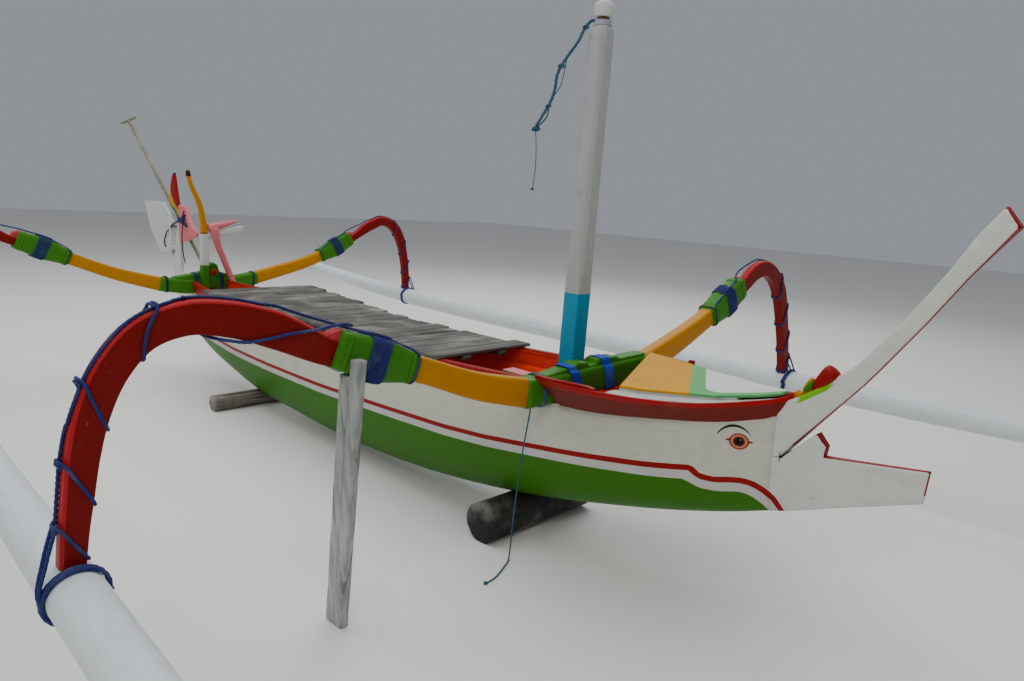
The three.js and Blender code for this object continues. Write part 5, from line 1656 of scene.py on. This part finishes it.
rope_piece("front_collar_line", [wound(0, -0.336, 0.722, 0.842, 0.0475, 3, 0.0075, 0.0036)], TEAL_ROPE)
rear_y, rear_z, rear_depth = np.array(CENTRES["rear"][2]).T / 1000
rings = []
for y in (-0.340, 0.340):
    z, depth = np.interp(y, rear_y, rear_z), np.interp(y, rear_y, rear_depth)
    rings.append(wound(REAR_X, y, z - depth / 2, z + depth / 2, 0.0475, 2, 0.0085, 0.0040))
rope_piece("boom_rings", rings, DARK_ROPE)
turns = [wound(REAR_X, y, 0.668, 0.818, 0.049, 2.5, 0.009, 0.0042) for y in (-0.128, 0.070)]
rope_piece("rear_boom_turns", turns, BLUE_ROPE)
print(len(PIECES), "pieces with the booms tied")

# %% Ties along the deck
lumps = []
for k, x in enumerate(np.linspace(-3.15, -0.66, 24)):
    rail, half = hull_at(x)[1:]
    a = np.linspace(0, 4 * np.pi, 60)
    path = np.stack([x + 0.006 * a / (2 * np.pi) + 0.004 * np.sin(a + k),
                     -(half - 0.008) + 0.0205 * np.cos(a), rail + 0.0770 + 0.0115 * np.sin(a)], -1)
    lumps.append((path, np.stack([np.zeros(60), np.cos(a), np.sin(a)], -1), 0.0042))
rope_piece("deck_ties", lumps, DARK_ROPE, around=6)
print(len(lumps), "ties along the deck's edge")

# %% [markdown]
# At the stern the knee is bound to the post, and loose ends hang from the knot. The rudder's line
# is in two parts at the hinge: one stays with the canoe, and the other swings with the rudder.

# %% Lines and knots at the stern
KNEE_HALF = 0.024


def hoop(x, z, wide, tall, lean, turns, radius):
    """Turns round the upright knee, in a plane that leans forward."""
    a = np.linspace(0, 2 * np.pi * turns, int(60 * turns))
    out_x, out_y = pushed(np.sin(a), 0.5), pushed(np.cos(a), 0.5)
    path = np.stack([x + wide * out_x, (KNEE_HALF + radius) * out_y,
                     z + tall * out_x + lean * a / (2 * np.pi)], -1)
    return path, unit(np.stack([out_x, out_y, 0 * a], -1)), radius


KNEE_KNOT = (-4.165, -0.034, 1.205)
rope_piece("knee_lashing", [hoop(-4.212, 1.165, 0.100, -0.026, 0.013, 3, 0.0045),
                            hoop(-4.225, 1.196, 0.085, 0.034, 0.011, 2, 0.0045)], BLUE_ROPE)
knot("knee_knot", KNEE_KNOT, 0.013, "canoe", BLUE_ROPE)
trail = [KNEE_KNOT, (-4.160, -0.045, 1.12), (-4.150, -0.052, 1.02), (-4.135, -0.050, 0.93),
         (-4.110, -0.046, 0.86)]
hook = np.array([[-4.295, -0.030, 1.180], [-4.345, -0.040, 1.158], [-4.392, -0.040, 1.136],
        [-4.405, -0.036, 1.120]])
tail = np.array([[-4.492, -0.0250, 1.100], [-4.520, -0.0250, 1.085], [-4.572, -0.0240, 1.030],
        [-4.598, -0.0200, 0.985], [-4.590, -0.0175, 0.958], [-4.565, -0.0240, 0.955]])
tuft = [KNEE_KNOT, (-4.158, -0.036, 1.250), (-4.150, -0.030, 1.275)]
rope_piece("stern_lines", [(through(line, 120), np.broadcast_to((0, 1, 0.2), (120, 3)), radius)
                           for line, radius in ((trail, 0.0050), (hook, 0.0062), (tuft, 0.0055))], DARK_ROPE)
fin_run = (through(tail, 120), np.broadcast_to((0, 1, 0), (120, 3)), 0.0058)
rope_piece("fin_line", [fin_run], DARK_ROPE, "rudder")
print(len(PIECES), "pieces with the stern's lines")

# %% The halyard's loose strands
strands = []
for rows, reach, radius in ((HALYARD[4:9], 0.026, 0.0022), (HALYARD[9:12], 0.020, 0.0036)):
    bow = np.sin(np.pi * np.linspace(0, 1, 120))[:, None] * reach
    path = through(rows, 120) + bow * np.array([0.71, 0.70, 0])
    strands.append((path, np.broadcast_to((0.7, -0.7, 0), (120, 3)), radius))
rope_piece("halyard_strands", strands, TEAL_ROPE, "mast", 7)
for k, size in ((2, 0.011), (5, 0.012), (9, 0.010)):
    knot(f"halyard_lump_{k}", HALYARD[k], size, "mast")
print(len(PIECES), "pieces with every lashing")

# %% [markdown]
# The last small parts are the ones that catch the eye: the golden flower and red bud behind the
# horn, the red knob on the crutch, the green blocks beside it and the cleat in the cockpit.
# Each is a board or a turned part again, only smaller.

# %% Flower, bud and knob
FLOWER = [[905, 914], [908, 938], [920, 946], [931, 940], [936, 962], [947, 985], [958, 998], [968, 992],
          [964, 972], [974, 966], [966, 950], [948, 936], [930, 918]]
upright_board("bow_flower", FLOWER, [[900, 9], [975, 15]], YELLOW, finish="yellow_paint", bevel=0.009,
              cell=0.006, y=-0.004)
PETAL = [[938, 950], [950, 975], [962, 990], [972, 980], [966, 962], [950, 948]]
upright_board("bow_flower_leaf", PETAL, [[930, 6], [980, 8]], GREEN, finish="green_paint", cell=0.006,
              y=-0.018)
BUD = [(-0.052, 0.010), (-0.048, 0.018), (-0.020, 0.024), (0.016, 0.029), (0.034, 0.030), (0.046, 0.026),
       (0.050, 0.012)]
piece("bow_bud", *turned(BUD, (1.002, -0.004, 0.998), (0.58, 0, 0.81), 24), paint=RED, finish="red_paint")
KNOB_ROUND = [(-0.016, 0.010), (-0.013, 0.020), (-0.004, 0.0245), (0.006, 0.0245), (0.013, 0.019),
              (0.016, 0.008)]
piece("crutch_knob", *turned(KNOB_ROUND, (CRUTCH_X + 0.028, -0.010, 0.835), (1, 0, 0.1), 24), paint=RED,
      finish="red_paint")
print(len(PIECES), "pieces with the carvings")

# %% Blocks, cleat and mast step
CHOCK = [[-46, 708], [-46, 790], [22, 792], [24, 712]]
across_board("crutch_chock", CHOCK, -3.718, 0.013, GREEN, [], "green_paint", 0.004)
piece("foredeck_stub", *block((0.276, 0.300), (0.352, 0.372), (0.864, 0.8825)), paint=RED, finish="red_paint")
CLEAT = [[-285, 760], [-285, 798], [-160, 798], [-148, 782], [-150, 760]]
CLEAT_PAINT = enamelled("cleat enamel", by_height(ROSE, (0.7968, LEAF_GREEN)))
upright_board("cockpit_cleat", CLEAT, [[-290, 36], [-140, 36]], CLEAT_PAINT, finish="green_paint",
              bevel=0.004, cell=0.012, y=-0.200)
STEP = [[-92, 253], [-138, 286], [138, 286], [92, 253]]
across_board("mast_step_board", STEP, -0.120, 0.100, RAW_WOOD, ["mast_step"], "raw_wood", 0.006, 0.03)
print(len(PIECES), "pieces with the blocks")

# %% Cap strips on the washboards
for place, side in (("port", 1), ("starboard", -1)):
    x = np.linspace(0.058, 0.318, 30)
    y = np.interp(x, WASH[:, 0], WASH[:, 3])
    tall = np.interp(x, [0.058, 0.285, 0.318], [0.0045, 0.0045, 0.0012])
    path = np.stack([x, side * y, 0.8582 + tall], -1)
    section = rectangle(0.0105, 1) * np.stack([np.ones(30), tall], -1)[:, None]
    piece(f"washboard_cap_{place}", *dressed(path, (0, 1, 0), (0, 0, 1), section, 0.15), paint=RED,
          finish="red_paint")
print(len(PIECES), "pieces in the finished boat")
